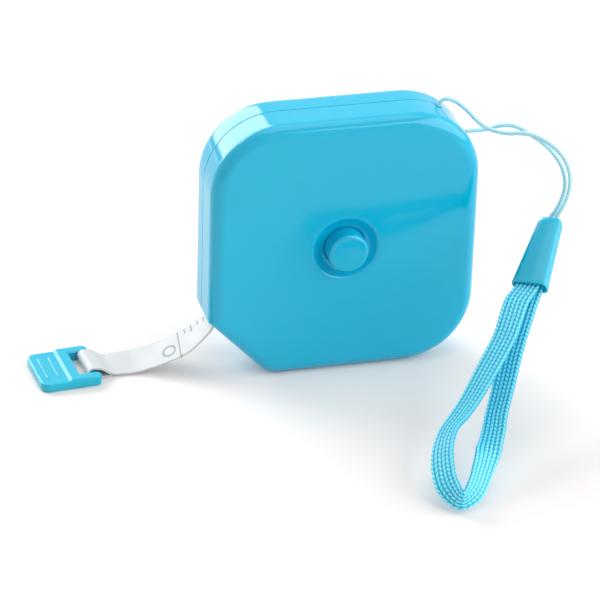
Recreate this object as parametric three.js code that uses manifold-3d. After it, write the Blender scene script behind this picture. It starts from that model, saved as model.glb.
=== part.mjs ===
// Pocket cloth tape measure with a push button, a spring-driven reel and a wrist strap.
// Millimetres, +Z up. The case stands on Z = 0 and its front face looks to -Y. The origin lies under the
// middle of the case, on the front shell, just in front of the line where the two shells part.

import * as THREE from 'three';
import { mergeVertices, mergeGeometries } from 'three/addons/utils/BufferGeometryUtils.js';
import Module from 'manifold-3d';

const wasm = await Module();
wasm.setup();

// Driving dimensions: the case
const caseWidth = 52;
const caseHeight = 52.6;
const caseDepth = 15;
const wall = 1.6;
const cornerRadius = 13.6;
const chamferAcross = 11.6;
const chamferRise = 12.1;
const mouthCornerRadius = 0.5;
const footCornerRadius = 5.2;
const frontEdgeRadius = 2.5;
const rearEdgeRadius = 3.8;
const fitGap = 0.3;
const seamGap = 0.3;
const seamPlane = 0.25;
const tongueThickness = 0.5;
const tongueReach = 1.2;

// Driving dimensions: the bosses and the thrust rings inside the case
const bossRadius = 2.1;
const bossInset = 4.7;
const footBossShare = 0.33;
const pinRadius = 1;
const pinLength = 3;
const thrustRadius = 15;
const thrustWidth = 1.2;
const thrustHeight = 0.5;

// Driving dimensions: the button and its spring
const buttonRadius = 3.85;
const buttonProud = 2.3;
const buttonTravel = 1.6;
const buttonEdge = 0.45;
const buttonCrown = 0.12;
const buttonWall = 1.2;
const buttonBore = 2.3;
const buttonDraft = 0.15;
const dishRadius = 6.3;
const dishDepth = 1.2;
const collarWall = 1.7;
const brakeRadius = 9;
const brakeThickness = 0.9;
const springWire = 0.45;
const springRadius = 1.65;
const springTurns = 7;

// Driving dimensions: the reel and what is inside it
const reelRadius = 21;
const hubRadius = 13;
const hubWall = 1.1;
const flangeThickness = 0.8;
const coverThickness = 0.6;
const washerThickness = 0.4;
const arborRadius = 2.5;
const arborFootRadius = 4.4;
const guideRadius = 1;
const mainspringThickness = 0.25;
const mainspringTurns = 8.5;
const hookLength = 0.75;

// Driving dimensions: the tape and its end tab
const tapeLength = 1500;
const tapeWidth = 7.5;
const tapeThickness = 0.36;
const mouthAlong = 3;
const mouthHeight = 1.9;
const mouthSide = 0.45;
const mouthAngle = 60;
const tapeReach = 16.1;
const tapeDrift = 2;
const tapeVeer = 6;
const tapeFlatHeight = 0.62;
const tapeFlatLength = 3.2;
const hemReach = 3.7;
const hemSlack = 0.34;
const hemLift = 0.05;
const barRadius = 0.5;
const barHeight = 1.25;
const tabTurn = 4.7;
const tabLength = 11.85;
const tabWidth = 12.4;
const tabPlateLength = 5.6;
const tabPlateThickness = 1.7;
const tabFrameThickness = 2.1;
const tabCorner = 1.7;
const tabEdge = 0.4;
const armEnd = 1.1;
const windowBehindBar = 2.9;
const windowSide = 0.42;
const ridgeLength = 7.9;
const ridgeWidth = 0.36;
const ridgeHeight = 0.18;
const ridgeCount = 2;
const ridgeInset = 1.75;
const ridgePitch = 2.1;

// Driving dimensions: the wrist strap
const cordDiameter = 0.85;
const cordAngle = 43;
const cordSpread = 17.7;
const ferruleTopWidth = 4.3;
const ferruleMouthWidth = 6.8;
const ferruleTopThickness = 2.5;
const ferruleMouthThickness = 3.2;
const ferruleWall = 0.4;
const ferruleRound = 0.9;
const ferruleCrownShare = 0.75;
const webbingWidth = 4.8;
const webbingThickness = 0.8;
const webbingTuck = 3;
const webbingAside = 0.2;

// Finish of the meshes
const overrun = 1;
const middleShare = 0.5;
const sharpest = 0.05;
const roundSteps = 40;
const cornerSteps = 7;
const edgeSteps = 4;
const cordSides = 8;

// Places that follow from the sizes
const halfWidth = caseWidth / 2;
const halfDepth = caseDepth / 2;
const reelHeight = caseHeight / 2;
const innerDepth = halfDepth - wall;
const faceY = -halfDepth;
const reelFront = -innerDepth + thrustHeight + fitGap;
const reelRear = -reelFront;
const webRear = reelFront + flangeThickness;
const rearFlangeFront = reelRear - flangeThickness;
const holeRadius = buttonRadius + buttonDraft + fitGap;
const collarRadius = holeRadius + collarWall;
const buttonFace = faceY - buttonProud;
const boreTop = buttonFace + buttonWall;
const brakeFront = webRear + fitGap;
const brakeRear = brakeFront + brakeThickness;
const coverFront = brakeRear + buttonTravel + fitGap;
const coverRear = coverFront + coverThickness;
const arborEnd = coverFront + fitGap;
const guideEnd = boreTop + buttonTravel + fitGap;
const washerRear = innerDepth - thrustHeight - fitGap;
const washerFront = washerRear - washerThickness;
const mainspringFront = coverRear + fitGap;
const mainspringRear = washerFront - fitGap;
const hubBore = hubRadius - hubWall;
const rollCore = hubRadius + fitGap;
const halfTape = tapeWidth / 2;
const halfTapeThickness = tapeThickness / 2;

// The chamfer runs down from the case's left side to its foot, and the tape leaves through it
const chamferTop = new THREE.Vector2(-halfWidth, chamferRise);
const chamferFoot = new THREE.Vector2(-halfWidth + chamferAcross, 0);
const chamferWay = chamferFoot.clone().sub(chamferTop).normalize();
const mouthPoint = chamferTop.clone().addScaledVector(chamferWay, mouthAlong);
const mouthRadians = THREE.MathUtils.degToRad(mouthAngle);
const mouthWay = new THREE.Vector2(-Math.cos(mouthRadians), -Math.sin(mouthRadians));
const leadEndX = mouthPoint.x - tapeReach;
const flatStartX = leadEndX - fitGap;
const flatEndX = flatStartX - tapeFlatLength;
const hemTipX = flatEndX - fitGap;
const barX = hemTipX - hemReach;
const tabRight = barX + armEnd;
const tabLeft = tabRight - tabLength;
const hemInner = barRadius + hemSlack;
const hemHeight = barHeight + hemLift;
const hemOuter = hemInner + tapeThickness;
const outsideTape = tapeReach + tapeFlatLength + hemReach;
const rollRadius = Math.sqrt(rollCore ** 2 + (tapeLength - outsideTape) * tapeThickness / Math.PI);
const leadRadius = rollRadius + fitGap + halfTapeThickness;

// Finishes
const casePlastic = { color: 0x19aedb, roughness: 0.16, metalness: 0 };
const innerPlastic = { color: 0xe9edf0, roughness: 0.45, metalness: 0 };
const springSteel = { color: 0x9aa0a6, roughness: 0.3, metalness: 1 };
const tapeCloth = { color: 0xf1f4f7, roughness: 0.55, metalness: 0 };
const cordNylon = { color: 0x8ed8ef, roughness: 0.6, metalness: 0 };
const webbingNylon = { color: 0x3fc0e6, roughness: 0.75, metalness: 0 };

// A geometry made of one closed skin, turned so that its faces look out
function closed(geometry) {
  const bare = geometry.clone();
  bare.deleteAttribute('normal');
  bare.deleteAttribute('uv');
  const merged = mergeVertices(bare);
  const at = merged.getAttribute('position');
  const order = merged.index.array;
  const [a, b, c] = [new THREE.Vector3(), new THREE.Vector3(), new THREE.Vector3()];
  let volume = 0;
  for (let i = 0; i < order.length; i += 3) {
    a.fromBufferAttribute(at, order[i]);
    b.fromBufferAttribute(at, order[i + 1]);
    c.fromBufferAttribute(at, order[i + 2]);
    volume += a.dot(b.cross(c));
  }
  if (volume < 0) {
    for (let i = 0; i < order.length; i += 3) {
      [order[i], order[i + 1]] = [order[i + 1], order[i]];
    }
  }
  return merged;
}

function solid(geometry) {
  const skin = closed(geometry);
  const vertProperties = new Float32Array(skin.getAttribute('position').array);
  const triVerts = new Uint32Array(skin.index.array);
  return new wasm.Manifold(new wasm.Mesh({ numProp: 3, vertProperties, triVerts }));
}

function skinOf(manifold) {
  const mesh = manifold.getMesh();
  const geometry = new THREE.BufferGeometry();
  geometry.setAttribute('position', new THREE.BufferAttribute(new Float32Array(mesh.vertProperties), 3));
  geometry.setIndex(new THREE.BufferAttribute(new Uint32Array(mesh.triVerts), 1));
  return geometry;
}

// One solid of the first geometry with others joined to it and then others cut from it
function built(base, joined, cut) {
  let body = solid(base);
  for (const piece of joined) {
    body = body.add(solid(piece));
  }
  for (const piece of cut) {
    body = body.subtract(solid(piece));
  }
  return skinOf(body);
}

// Skins stacked rings of equal counts, with a fan over each end
function loft(rings) {
  const count = rings[0].length;
  const points = rings.flat();
  const order = [];
  for (let ring = 0; ring + 1 < rings.length; ring += 1) {
    for (let i = 0; i < count; i += 1) {
      const next = (i + 1) % count;
      const low = ring * count;
      const high = low + count;
      order.push(low + i, low + next, high + next, low + i, high + next, high + i);
    }
  }
  const last = (rings.length - 1) * count;
  for (let i = 1; i + 1 < count; i += 1) {
    order.push(0, i + 1, i, last, last + i, last + i + 1);
  }
  const geometry = new THREE.BufferGeometry().setFromPoints(points);
  geometry.setIndex(order);
  return geometry;
}

// A turned piece on the reel's axis, from a profile of radius and Y
function turned(profile, steps = roundSteps) {
  const points = profile.map(([radius, y]) => new THREE.Vector2(radius, y));
  return new THREE.LatheGeometry(points, steps).translate(0, 0, reelHeight);
}

function washerProfile(inner, outer, front, rear) {
  return [[inner, front], [outer, front], [outer, rear], [inner, rear], [inner, front]];
}

// A round post along Y
function post(radius, front, rear, x, z, steps = roundSteps / 2) {
  return new THREE.CylinderGeometry(radius, radius, rear - front, steps).translate(x, (front + rear) / 2, z);
}

// A plate whose outline is drawn in X and Z
function plate(shape, front, rear) {
  const geometry = new THREE.ExtrudeGeometry(shape, { depth: rear - front, bevelEnabled: false, curveSegments: cornerSteps });
  return geometry.rotateX(Math.PI / 2).translate(0, rear, 0);
}

// The outline of a strip of even thickness along points in X and Z
function stripShape(points, thickness) {
  const sides = [[], []];
  points.forEach((point, i) => {
    const before = points[Math.max(i - 1, 0)];
    const after = points[Math.min(i + 1, points.length - 1)];
    const way = after.clone().sub(before).normalize();
    const across = new THREE.Vector2(-way.y, way.x).multiplyScalar(thickness / 2);
    sides[0].push(point.clone().add(across));
    sides[1].push(point.clone().sub(across));
  });
  return new THREE.Shape([...sides[0], ...sides[1].reverse()]);
}

function roundTube(points, diameter, steps, sides = cordSides) {
  const path = new THREE.CatmullRomCurve3(points, false, 'centripetal');
  const section = new THREE.Shape();
  for (let i = 0; i < sides; i += 1) {
    const angle = i / sides * 2 * Math.PI;
    const [x, y] = [Math.cos(angle) * diameter / 2, Math.sin(angle) * diameter / 2];
    if (i === 0) {
      section.moveTo(x, y);
    } else {
      section.lineTo(x, y);
    }
  }
  return new THREE.ExtrudeGeometry(section, { steps, extrudePath: path, bevelEnabled: false });
}

// The case's outline: a rounded square with its lower left corner cut off, drawn in by an inset
function caseOutline(inset) {
  const corners = [
    [chamferTop.x, chamferTop.y, mouthCornerRadius],
    [chamferFoot.x, chamferFoot.y, footCornerRadius],
    [halfWidth, 0, cornerRadius],
    [halfWidth, caseHeight, cornerRadius],
    [-halfWidth, caseHeight, cornerRadius],
  ];
  const points = [];
  corners.forEach(([x, z, radius], i) => {
    const corner = new THREE.Vector2(x, z);
    const before = new THREE.Vector2(...corners[(i + corners.length - 1) % corners.length]);
    const after = new THREE.Vector2(...corners[(i + 1) % corners.length]);
    const arrive = corner.clone().sub(before).normalize();
    const leave = after.sub(corner).normalize();
    const half = arrive.angleTo(leave) / 2;
    const reach = Math.max(radius, inset + sharpest);
    const inward = leave.clone().sub(arrive).normalize();
    const centre = corner.addScaledVector(inward, reach / Math.cos(half));
    const start = arrive.angle() - Math.PI / 2;
    for (let step = 0; step <= cornerSteps; step += 1) {
      const angle = start + 2 * half * step / cornerSteps;
      const offset = new THREE.Vector2(Math.cos(angle), Math.sin(angle)).multiplyScalar(reach - inset);
      points.push(centre.clone().add(offset));
    }
  });
  return points;
}

// The space inside the case's outline between two depths, with a rounded edge at the far one
function caseSpace(side, inset, near, far, edge) {
  const ring = (drawn, depth) => caseOutline(drawn).map((point) => new THREE.Vector3(point.x, side * depth, point.y));
  const rings = [ring(inset, near)];
  for (let step = 0; step <= edgeSteps; step += 1) {
    const angle = step / edgeSteps * Math.PI / 2;
    rings.push(ring(inset + edge * (1 - Math.cos(angle)), far - edge * (1 - Math.sin(angle))));
  }
  return closed(loft(rings));
}

// Bosses stand in the corners, and the strap's cord goes round the one at the upper right
function bossPlaces() {
  const centreX = halfWidth - cornerRadius;
  const away = cornerRadius - bossInset;
  const place = (x, z, degrees) => {
    const angle = THREE.MathUtils.degToRad(degrees);
    return [x + away * Math.cos(angle), z + away * Math.sin(angle)];
  };
  const foot = bossRadius + wall;
  return [
    place(centreX, caseHeight - cornerRadius, cordAngle),
    place(-centreX, caseHeight - cornerRadius, 180 - cordAngle),
    place(centreX, cornerRadius, -cordAngle),
    [chamferFoot.x + foot * footBossShare, foot + fitGap],
  ];
}

function cordCorner() {
  return new THREE.Vector2(halfWidth - cornerRadius, caseHeight - cornerRadius);
}

// A point of the strap's corner at an angle and a distance from the corner's centre
function atCorner(degrees, distance) {
  const angle = THREE.MathUtils.degToRad(degrees);
  return cordCorner().add(new THREE.Vector2(Math.cos(angle), Math.sin(angle)).multiplyScalar(distance));
}

function cordHoles() {
  return [cordAngle - cordSpread, cordAngle + cordSpread].map((degrees) => {
    const length = wall + 2 * overrun;
    const at = atCorner(degrees, cornerRadius - wall / 2);
    const hole = new THREE.CylinderGeometry(cordDiameter / 2 + fitGap, cordDiameter / 2 + fitGap, length, cordSides * 2);
    const turn = THREE.MathUtils.degToRad(90 - degrees);
    return hole.rotateX(Math.PI / 2).rotateY(turn).translate(at.x, 0, at.y);
  });
}

function mouthSlot() {
  const width = tapeWidth + 2 * mouthSide;
  const turn = Math.atan2(mouthWay.x, mouthWay.y);
  const at = mouthPoint.clone();
  return new THREE.BoxGeometry(mouthHeight, width, 4 * wall).rotateY(turn).translate(at.x, 0, at.y);
}

// Where a shell's rim lies in Y, on its side of the seam
function rimAt(side) {
  return seamPlane + side * seamGap / 2;
}

function halfShell(side, edge) {
  const outer = caseSpace(side, 0, side * rimAt(side), halfDepth, edge);
  const inner = caseSpace(side, wall, -overrun, innerDepth, Math.max(edge - wall, sharpest));
  const ends = [rimAt(side), side * (innerDepth + sharpest)].sort((a, b) => a - b);
  const rise = [side * (innerDepth - thrustHeight), side * (innerDepth + sharpest)].sort((a, b) => a - b);
  const bosses = bossPlaces().map(([x, z]) => post(bossRadius, ends[0], ends[1], x, z));
  const ring = turned(washerProfile(thrustRadius, thrustRadius + thrustWidth, rise[0], rise[1]));
  return { shell: built(outer, [], [inner]), bosses, ring };
}

function frontShell() {
  const { shell, bosses, ring } = halfShell(-1, frontEdgeRadius);
  const collar = turned([[0, -innerDepth - sharpest], [collarRadius, -innerDepth - sharpest], [collarRadius, webRear], [0, webRear]]);
  const rebateInset = wall - tongueThickness - fitGap;
  const rebate = caseSpace(-1, rebateInset, -overrun, tongueReach + fitGap - rimAt(-1), sharpest);
  const inside = caseSpace(-1, wall + fitGap, -2 * overrun, innerDepth, sharpest);
  const rebateRing = built(rebate, [], [inside]);
  const socketDepth = pinLength + fitGap;
  const sockets = bossPlaces().map(([x, z]) => post(pinRadius + fitGap, -socketDepth, overrun, x, z));
  const dish = [[0, faceY - overrun], [dishRadius, faceY - overrun]];
  for (let step = 0; step <= edgeSteps; step += 1) {
    const share = step / edgeSteps;
    dish.push([dishRadius - (dishRadius - holeRadius) * share, faceY + dishDepth * Math.sin(share * Math.PI / 2)]);
  }
  dish.push([holeRadius, webRear + overrun], [0, webRear + overrun]);
  const cuts = [rebateRing, ...sockets, turned(dish), mouthSlot(), ...cordHoles()];
  return built(shell, [...bosses, ring, collar], cuts);
}

function rearShell() {
  const { shell, bosses, ring } = halfShell(1, rearEdgeRadius);
  const tip = tongueReach - rimAt(-1);
  const tongueOutside = caseSpace(-1, wall - tongueThickness, -wall, tip, sharpest);
  const tongueInside = caseSpace(-1, wall, -wall - overrun, tip + overrun, sharpest);
  const tongue = built(tongueOutside, [], [tongueInside]);
  const pins = bossPlaces().map(([x, z]) => post(pinRadius, -pinLength, overrun, x, z));
  const arbor = turned([
    [0, guideEnd], [guideRadius, guideEnd], [guideRadius, arborEnd], [arborRadius, arborEnd],
    [arborRadius, innerDepth - thrustHeight], [arborFootRadius, innerDepth - thrustHeight],
    [arborFootRadius, innerDepth + sharpest], [0, innerDepth + sharpest],
  ]);
  const slotFront = coverRear;
  const slotWidth = mainspringThickness + 2 * fitGap;
  const slot = new THREE.BoxGeometry(2 * (arborRadius + overrun), washerFront - slotFront, slotWidth);
  slot.translate(0, (washerFront + slotFront) / 2, reelHeight);
  return built(shell, [...bosses, ring, tongue, ...pins, arbor], [slot, mouthSlot(), ...cordHoles()]);
}

function button() {
  const profile = [[0, buttonFace - buttonCrown], [buttonRadius - buttonEdge, buttonFace]];
  for (let step = 1; step <= edgeSteps; step += 1) {
    const angle = step / edgeSteps * Math.PI / 2;
    profile.push([buttonRadius - buttonEdge * (1 - Math.sin(angle)), buttonFace + buttonEdge * (1 - Math.cos(angle))]);
  }
  profile.push(
    [buttonRadius + buttonDraft, brakeFront], [brakeRadius, brakeFront], [brakeRadius, brakeRear],
    [buttonBore, brakeRear], [buttonBore, boreTop], [0, boreTop],
  );
  return turned(profile);
}

function buttonSpring() {
  const front = boreTop + fitGap + springWire / 2;
  const rear = arborEnd - fitGap - springWire / 2;
  const stepsPerTurn = 10;
  const points = [];
  for (let i = 0; i <= springTurns * stepsPerTurn; i += 1) {
    const share = i / (springTurns * stepsPerTurn);
    const angle = share * springTurns * 2 * Math.PI;
    const across = new THREE.Vector3(Math.cos(angle), 0, Math.sin(angle)).multiplyScalar(springRadius);
    points.push(across.add(new THREE.Vector3(0, rear + (front - rear) * share, reelHeight)));
  }
  return roundTube(points, springWire, springTurns * 8, 5);
}

function reel() {
  const spool = turned([
    [collarRadius + fitGap, reelFront], [reelRadius, reelFront], [reelRadius, webRear],
    [hubRadius, webRear], [hubRadius, rearFlangeFront], [reelRadius, rearFlangeFront],
    [reelRadius, reelRear], [hubBore, reelRear], [hubBore, webRear],
    [collarRadius + fitGap, webRear], [collarRadius + fitGap, reelFront],
  ], roundSteps + 8);
  const slotWidth = mainspringThickness + 2 * fitGap;
  const length = mainspringRear - mainspringFront + 2 * fitGap;
  const slot = new THREE.BoxGeometry(hubWall + overrun, length, slotWidth);
  const middle = (mainspringFront + mainspringRear) / 2;
  slot.translate(-hubBore - hubWall / 2, middle, reelHeight);
  return built(spool, [], [slot]);
}

// A flat spiral of steel: a tang through the arbor's slot, the turns, and a hook in the hub's slot
function mainspring() {
  const stepsPerTurn = 18;
  const start = arborRadius + fitGap + mainspringThickness;
  const end = hubBore - fitGap - mainspringThickness;
  const centre = new THREE.Vector2(0, reelHeight);
  const points = [centre.clone().add(new THREE.Vector2(-arborRadius / 2, 0)), centre.clone().add(new THREE.Vector2(arborRadius, 0))];
  const count = Math.round(mainspringTurns * stepsPerTurn);
  for (let i = 1; i <= count; i += 1) {
    const share = i / count;
    const angle = share * mainspringTurns * 2 * Math.PI;
    const radius = start + (end - start) * share;
    points.push(centre.clone().add(new THREE.Vector2(Math.cos(angle), Math.sin(angle)).multiplyScalar(radius)));
  }
  points.push(centre.clone().add(new THREE.Vector2(-end - hookLength, 0)));
  return plate(stripShape(points, mainspringThickness), mainspringFront, mainspringRear);
}

// The wound tape: its outer turn climbs by one thickness and leaves a step where the tape runs off
function tapeRoll() {
  const start = Math.PI - leadAngle();
  const shape = new THREE.Shape();
  for (let i = 0; i <= roundSteps; i += 1) {
    const angle = start - i / roundSteps * 2 * Math.PI;
    const radius = rollRadius - tapeThickness * i / roundSteps;
    const point = [Math.cos(angle) * radius, reelHeight + Math.sin(angle) * radius];
    if (i === 0) {
      shape.moveTo(...point);
    } else {
      shape.lineTo(...point);
    }
  }
  const core = new THREE.Path();
  core.absarc(0, reelHeight, rollCore, 0, 2 * Math.PI, false);
  shape.holes.push(core);
  const geometry = new THREE.ExtrudeGeometry(shape, { depth: tapeWidth, bevelEnabled: false, curveSegments: roundSteps / 2 });
  return geometry.rotateX(Math.PI / 2).translate(0, halfTape, 0);
}

// The point inside the mouth from which the tape runs straight up to the roll
function throat() {
  return mouthPoint.clone().addScaledVector(mouthWay, -2 * wall);
}

// How far above the level of the reel's centre, on its left, the tape meets the roll
function leadAngle() {
  const from = throat().sub(new THREE.Vector2(0, reelHeight));
  const toThroat = Math.atan2(-from.y, -from.x);
  return Math.acos(leadRadius / from.length()) - toThroat;
}

// The hem and the tab lie turned about the bar, which has drifted to the rear
function turnedAside(geometry) {
  const turn = THREE.MathUtils.degToRad(tabTurn);
  return geometry.translate(-barX, 0, 0).rotateZ(turn).translate(barX, tapeDrift, 0);
}

// The free tape drifts to the rear in a curve from the mouth to the hem's tip
function drifted(geometry) {
  const at = geometry.getAttribute('position');
  const turn = Math.tan(THREE.MathUtils.degToRad(tabTurn));
  const veer = Math.tan(THREE.MathUtils.degToRad(tapeVeer));
  const span = mouthPoint.x - hemTipX;
  const tipDrift = tapeDrift + hemReach * turn;
  for (let i = 0; i < at.count; i += 1) {
    const share = Math.max((mouthPoint.x - at.getX(i)) / span, 0);
    const square = share ** 2;
    const cube = share ** 3;
    const leaving = span * veer * (cube - 2 * square + share);
    const arriving = span * turn * (cube - square);
    at.setY(i, at.getY(i) + tipDrift * (3 * square - 2 * cube) + leaving - arriving);
  }
  return geometry;
}

// The free tape from the roll, out of the mouth and down to where it lies level
const curveShares = [
  [0.033, 0.095], [0.087, 0.197], [0.13, 0.277], [0.205, 0.4], [0.292, 0.524], [0.373, 0.615],
  [0.534, 0.755], [0.671, 0.857], [0.77, 0.916], [0.9, 0.976], [1, 1],
];

function leadPoints() {
  const angle = Math.PI - leadAngle();
  const off = new THREE.Vector2(Math.cos(angle) * leadRadius, reelHeight + Math.sin(angle) * leadRadius);
  const drop = mouthPoint.y - tapeFlatHeight;
  const curve = curveShares.map(([across, down]) => new THREE.Vector2(mouthPoint.x - tapeReach * across, mouthPoint.y - drop * down));
  const inner = throat();
  const middle = off.clone().lerp(inner, middleShare);
  return [off, middle, inner, mouthPoint.clone(), ...curve];
}

function tapeLead() {
  const spline = new THREE.SplineCurve(leadPoints());
  return drifted(plate(stripShape(spline.getPoints(roundSteps + 8), tapeThickness), -halfTape, halfTape));
}

function tapeFlat() {
  const geometry = new THREE.BoxGeometry(tapeFlatLength, tapeWidth, tapeThickness);
  return drifted(geometry.translate((flatStartX + flatEndX) / 2, 0, tapeFlatHeight));
}

// The tape's end folded round the tab's bar: a drop shape with the bar's hole through it
function hemOutline(radius, tipX, tipTop, tipBottom) {
  const points = [];
  const tangent = (z) => {
    const from = new THREE.Vector2(tipX - barX, z - hemHeight);
    const turn = Math.acos(radius / from.length());
    return [from.angle() + turn, from.angle() - turn];
  };
  const first = tangent(tipTop)[0];
  const last = tangent(tipBottom)[1] + (tangent(tipBottom)[1] < first ? 2 * Math.PI : 0);
  const steps = 2 * cornerSteps;
  for (let i = 0; i <= steps; i += 1) {
    const angle = first + (last - first) * i / steps;
    points.push(new THREE.Vector2(barX + Math.cos(angle) * radius, hemHeight + Math.sin(angle) * radius));
  }
  points.push(new THREE.Vector2(tipX, tipBottom));
  if (tipTop > tipBottom) {
    points.push(new THREE.Vector2(tipX, tipTop));
  }
  return points;
}

function tapeHem() {
  const top = tapeFlatHeight + halfTapeThickness;
  const shape = new THREE.Shape(hemOutline(hemOuter, hemTipX, top, top - 2 * tapeThickness));
  const joint = top - tapeThickness;
  shape.holes.push(new THREE.Path(hemOutline(hemInner, hemTipX - 2 * tapeThickness, joint, joint)));
  return turnedAside(plate(shape, -halfTape, halfTape));
}

// A slab of the tab from a left edge to the arms' ends, open between the arms, with rounded edges
function tabSlab(leftX, corner, thickness) {
  const left = leftX + tabEdge;
  const right = tabRight - tabEdge;
  const half = tabWidth / 2 - tabEdge;
  const inner = halfTape + windowSide + tabEdge;
  const back = barX - windowBehindBar - tabEdge;
  const round = (half - inner) / 2;
  const outline = new THREE.Shape();
  outline.moveTo(back, -inner);
  outline.lineTo(back, inner);
  outline.lineTo(right - round, inner);
  outline.quadraticCurveTo(right, inner, right, inner + round);
  outline.quadraticCurveTo(right, half, right - round, half);
  outline.lineTo(left + corner, half);
  outline.quadraticCurveTo(left, half, left, half - corner);
  outline.lineTo(left, -half + corner);
  outline.quadraticCurveTo(left, -half, left + corner, -half);
  outline.lineTo(right - round, -half);
  outline.quadraticCurveTo(right, -half, right, -half + round);
  outline.quadraticCurveTo(right, -inner, right - round, -inner);
  outline.closePath();
  const depth = thickness - 2 * tabEdge;
  const options = { depth, bevelThickness: tabEdge, bevelSize: tabEdge, bevelSegments: edgeSteps - 1, curveSegments: edgeSteps };
  return new THREE.ExtrudeGeometry(outline, options).translate(0, 0, tabEdge);
}

// The finger plate with its ribs, the thicker frame round the window, and the bar that the tape goes round
function endTab() {
  const frameX = tabLeft + tabPlateLength;
  const ribs = [];
  for (let number = 0; number < ridgeCount; number += 1) {
    const rib = new THREE.CylinderGeometry(ridgeWidth / 2, ridgeWidth / 2, ridgeLength, cordSides);
    rib.scale(1, 1, 2 * ridgeHeight / ridgeWidth);
    ribs.push(rib.translate(tabLeft + ridgeInset + ridgePitch * number, 0, tabPlateThickness));
  }
  const grip = halfTape + windowSide + tabEdge;
  const bar = post(barRadius, -grip, grip, barX, barHeight);
  const frame = tabSlab(frameX, tabEdge, tabFrameThickness);
  return turnedAside(built(tabSlab(tabLeft, tabCorner, tabPlateThickness), [frame, ...ribs, bar], []));
}

// The strap's cord inside the case: in through one hole, round the corner boss, out through the other
function cordInside() {
  const boss = atCorner(cordAngle, cornerRadius - bossInset);
  const round = bossRadius + fitGap + cordDiameter / 2;
  const out = cordAngle + 180;
  const turn = [110, 70, 35, 0, -35, -70, -110].map((degrees) => {
    const angle = THREE.MathUtils.degToRad(out - degrees);
    return boss.clone().add(new THREE.Vector2(Math.cos(angle), Math.sin(angle)).multiplyScalar(round));
  });
  const ends = [cordAngle + cordSpread, cordAngle - cordSpread].map((degrees) => [
    atCorner(degrees, cornerRadius - fitGap), atCorner(degrees, cornerRadius - wall),
  ]);
  const points = [...ends[0], ...turn, ends[1][1], ends[1][0]];
  return roundTube(points.map((point) => new THREE.Vector3(point.x, 0, point.y)), cordDiameter, roundSteps);
}

// The strap's two cords outside the case, each from its hole to the ferrule's top
const upperCordRoute = [
  [19, 0, 50.95], [19.7, -0.1, 52], [20.6, -0.3, 52.3], [22.2, -0.7, 51.8], [24.2, -1.6, 50.3], [25.9, -2.5, 48.5],
  [27.6, -3.5, 47.2], [29.3, -4.5, 46.7], [31.2, -5.6, 46.6], [33.4, -7, 47.1], [35.4, -8.3, 47.1],
  [37.6, -9.9, 46.3], [39.4, -11.3, 45], [40.7, -12.6, 43.2], [41.3, -13.8, 40.8], [41.1, -14.6, 38.6],
  [40.4, -15.2, 36.5], [39.5, -15.5, 34.8], [38.6, -15.4, 33.2], [38.15, -15.6, 32.4], [37.7, -16.3, 31.8],
  [32.55, -23.95, 26.4],
];
const lowerCordRoute = [
  [24.75, 0, 44.85], [26.1, 0.1, 44.9], [27.6, 0, 44.9], [29.6, -0.3, 45.2], [31, -0.9, 45.9], [32.6, -1.9, 46.4],
  [34.2, -3, 46.3], [35.7, -4.5, 45.7], [37.4, -6.4, 44.9], [39, -8.4, 43.7], [40.3, -10.5, 41.9],
  [40.8, -12.1, 40], [40.7, -13.1, 38.2], [39.9, -13.9, 36], [38.8, -14.3, 34], [37.9, -14.4, 32.9],
  [37.2, -14.85, 32.2], [36.75, -15.55, 31.7], [31.6, -23.2, 26.3],
];

function cordOutside(route) {
  return roundTube(route.map((point) => new THREE.Vector3(...point)), cordDiameter, 2 * route.length);
}

// The ferrule's axis runs from its top down to its mouth, and its width lies along its side
const ferruleTop = new THREE.Vector3(37.84, -15, 32.43);
const ferruleMouth = new THREE.Vector3(30.49, -25.94, 24.67);
const ferruleSide = new THREE.Vector3(0.789, -0.605, 0.106);

function ferruleFrame() {
  const along = ferruleMouth.clone().sub(ferruleTop).normalize();
  const across = ferruleSide.clone().addScaledVector(along, -ferruleSide.dot(along)).normalize();
  const face = along.clone().cross(across);
  return new THREE.Matrix4().makeBasis(across, face, along).setPosition(ferruleTop);
}

function roundedSection(width, thickness, radius, at) {
  const ring = [];
  const steps = 4;
  const quarters = [[1, 1], [-1, 1], [-1, -1], [1, -1]];
  quarters.forEach(([sideX, sideY], quarter) => {
    for (let step = 0; step <= steps; step += 1) {
      const angle = (quarter + step / steps) * Math.PI / 2;
      const x = sideX * (width / 2 - radius) + radius * Math.cos(angle);
      const y = sideY * (thickness / 2 - radius) + radius * Math.sin(angle);
      ring.push(new THREE.Vector3(x, y, at));
    }
  });
  return ring;
}

function ferrule() {
  const length = ferruleMouth.distanceTo(ferruleTop);
  const section = (share, drawn, at) => {
    const width = THREE.MathUtils.lerp(ferruleTopWidth, ferruleMouthWidth, share) - 2 * drawn;
    const thickness = THREE.MathUtils.lerp(ferruleTopThickness, ferruleMouthThickness, share) - 2 * drawn;
    return roundedSection(width, thickness, Math.max(ferruleRound - drawn, ferruleWall), at);
  };
  const rounding = [];
  for (let step = 0; step < edgeSteps; step += 1) {
    const angle = step / edgeSteps * Math.PI / 2;
    rounding.push(section(0, ferruleRound * (1 - Math.sin(angle)) * ferruleCrownShare, ferruleRound * (1 - Math.cos(angle))));
  }
  const outer = loft([...rounding, section(ferruleRound / length, 0, ferruleRound), section(1, 0, length)]);
  const cavityTop = length - webbingTuck - fitGap;
  const cavity = loft([section(cavityTop / length, ferruleWall, cavityTop), section(1, ferruleWall, length + overrun)]);
  const eyeWidth = 3 * cordDiameter + fitGap;
  const eye = loft([-overrun, cavityTop + overrun].map((at) => roundedSection(eyeWidth, cordDiameter + 2 * fitGap, cordDiameter / 2, at)));
  return built(outer, [], [cavity, eye]).applyMatrix4(ferruleFrame());
}

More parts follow.
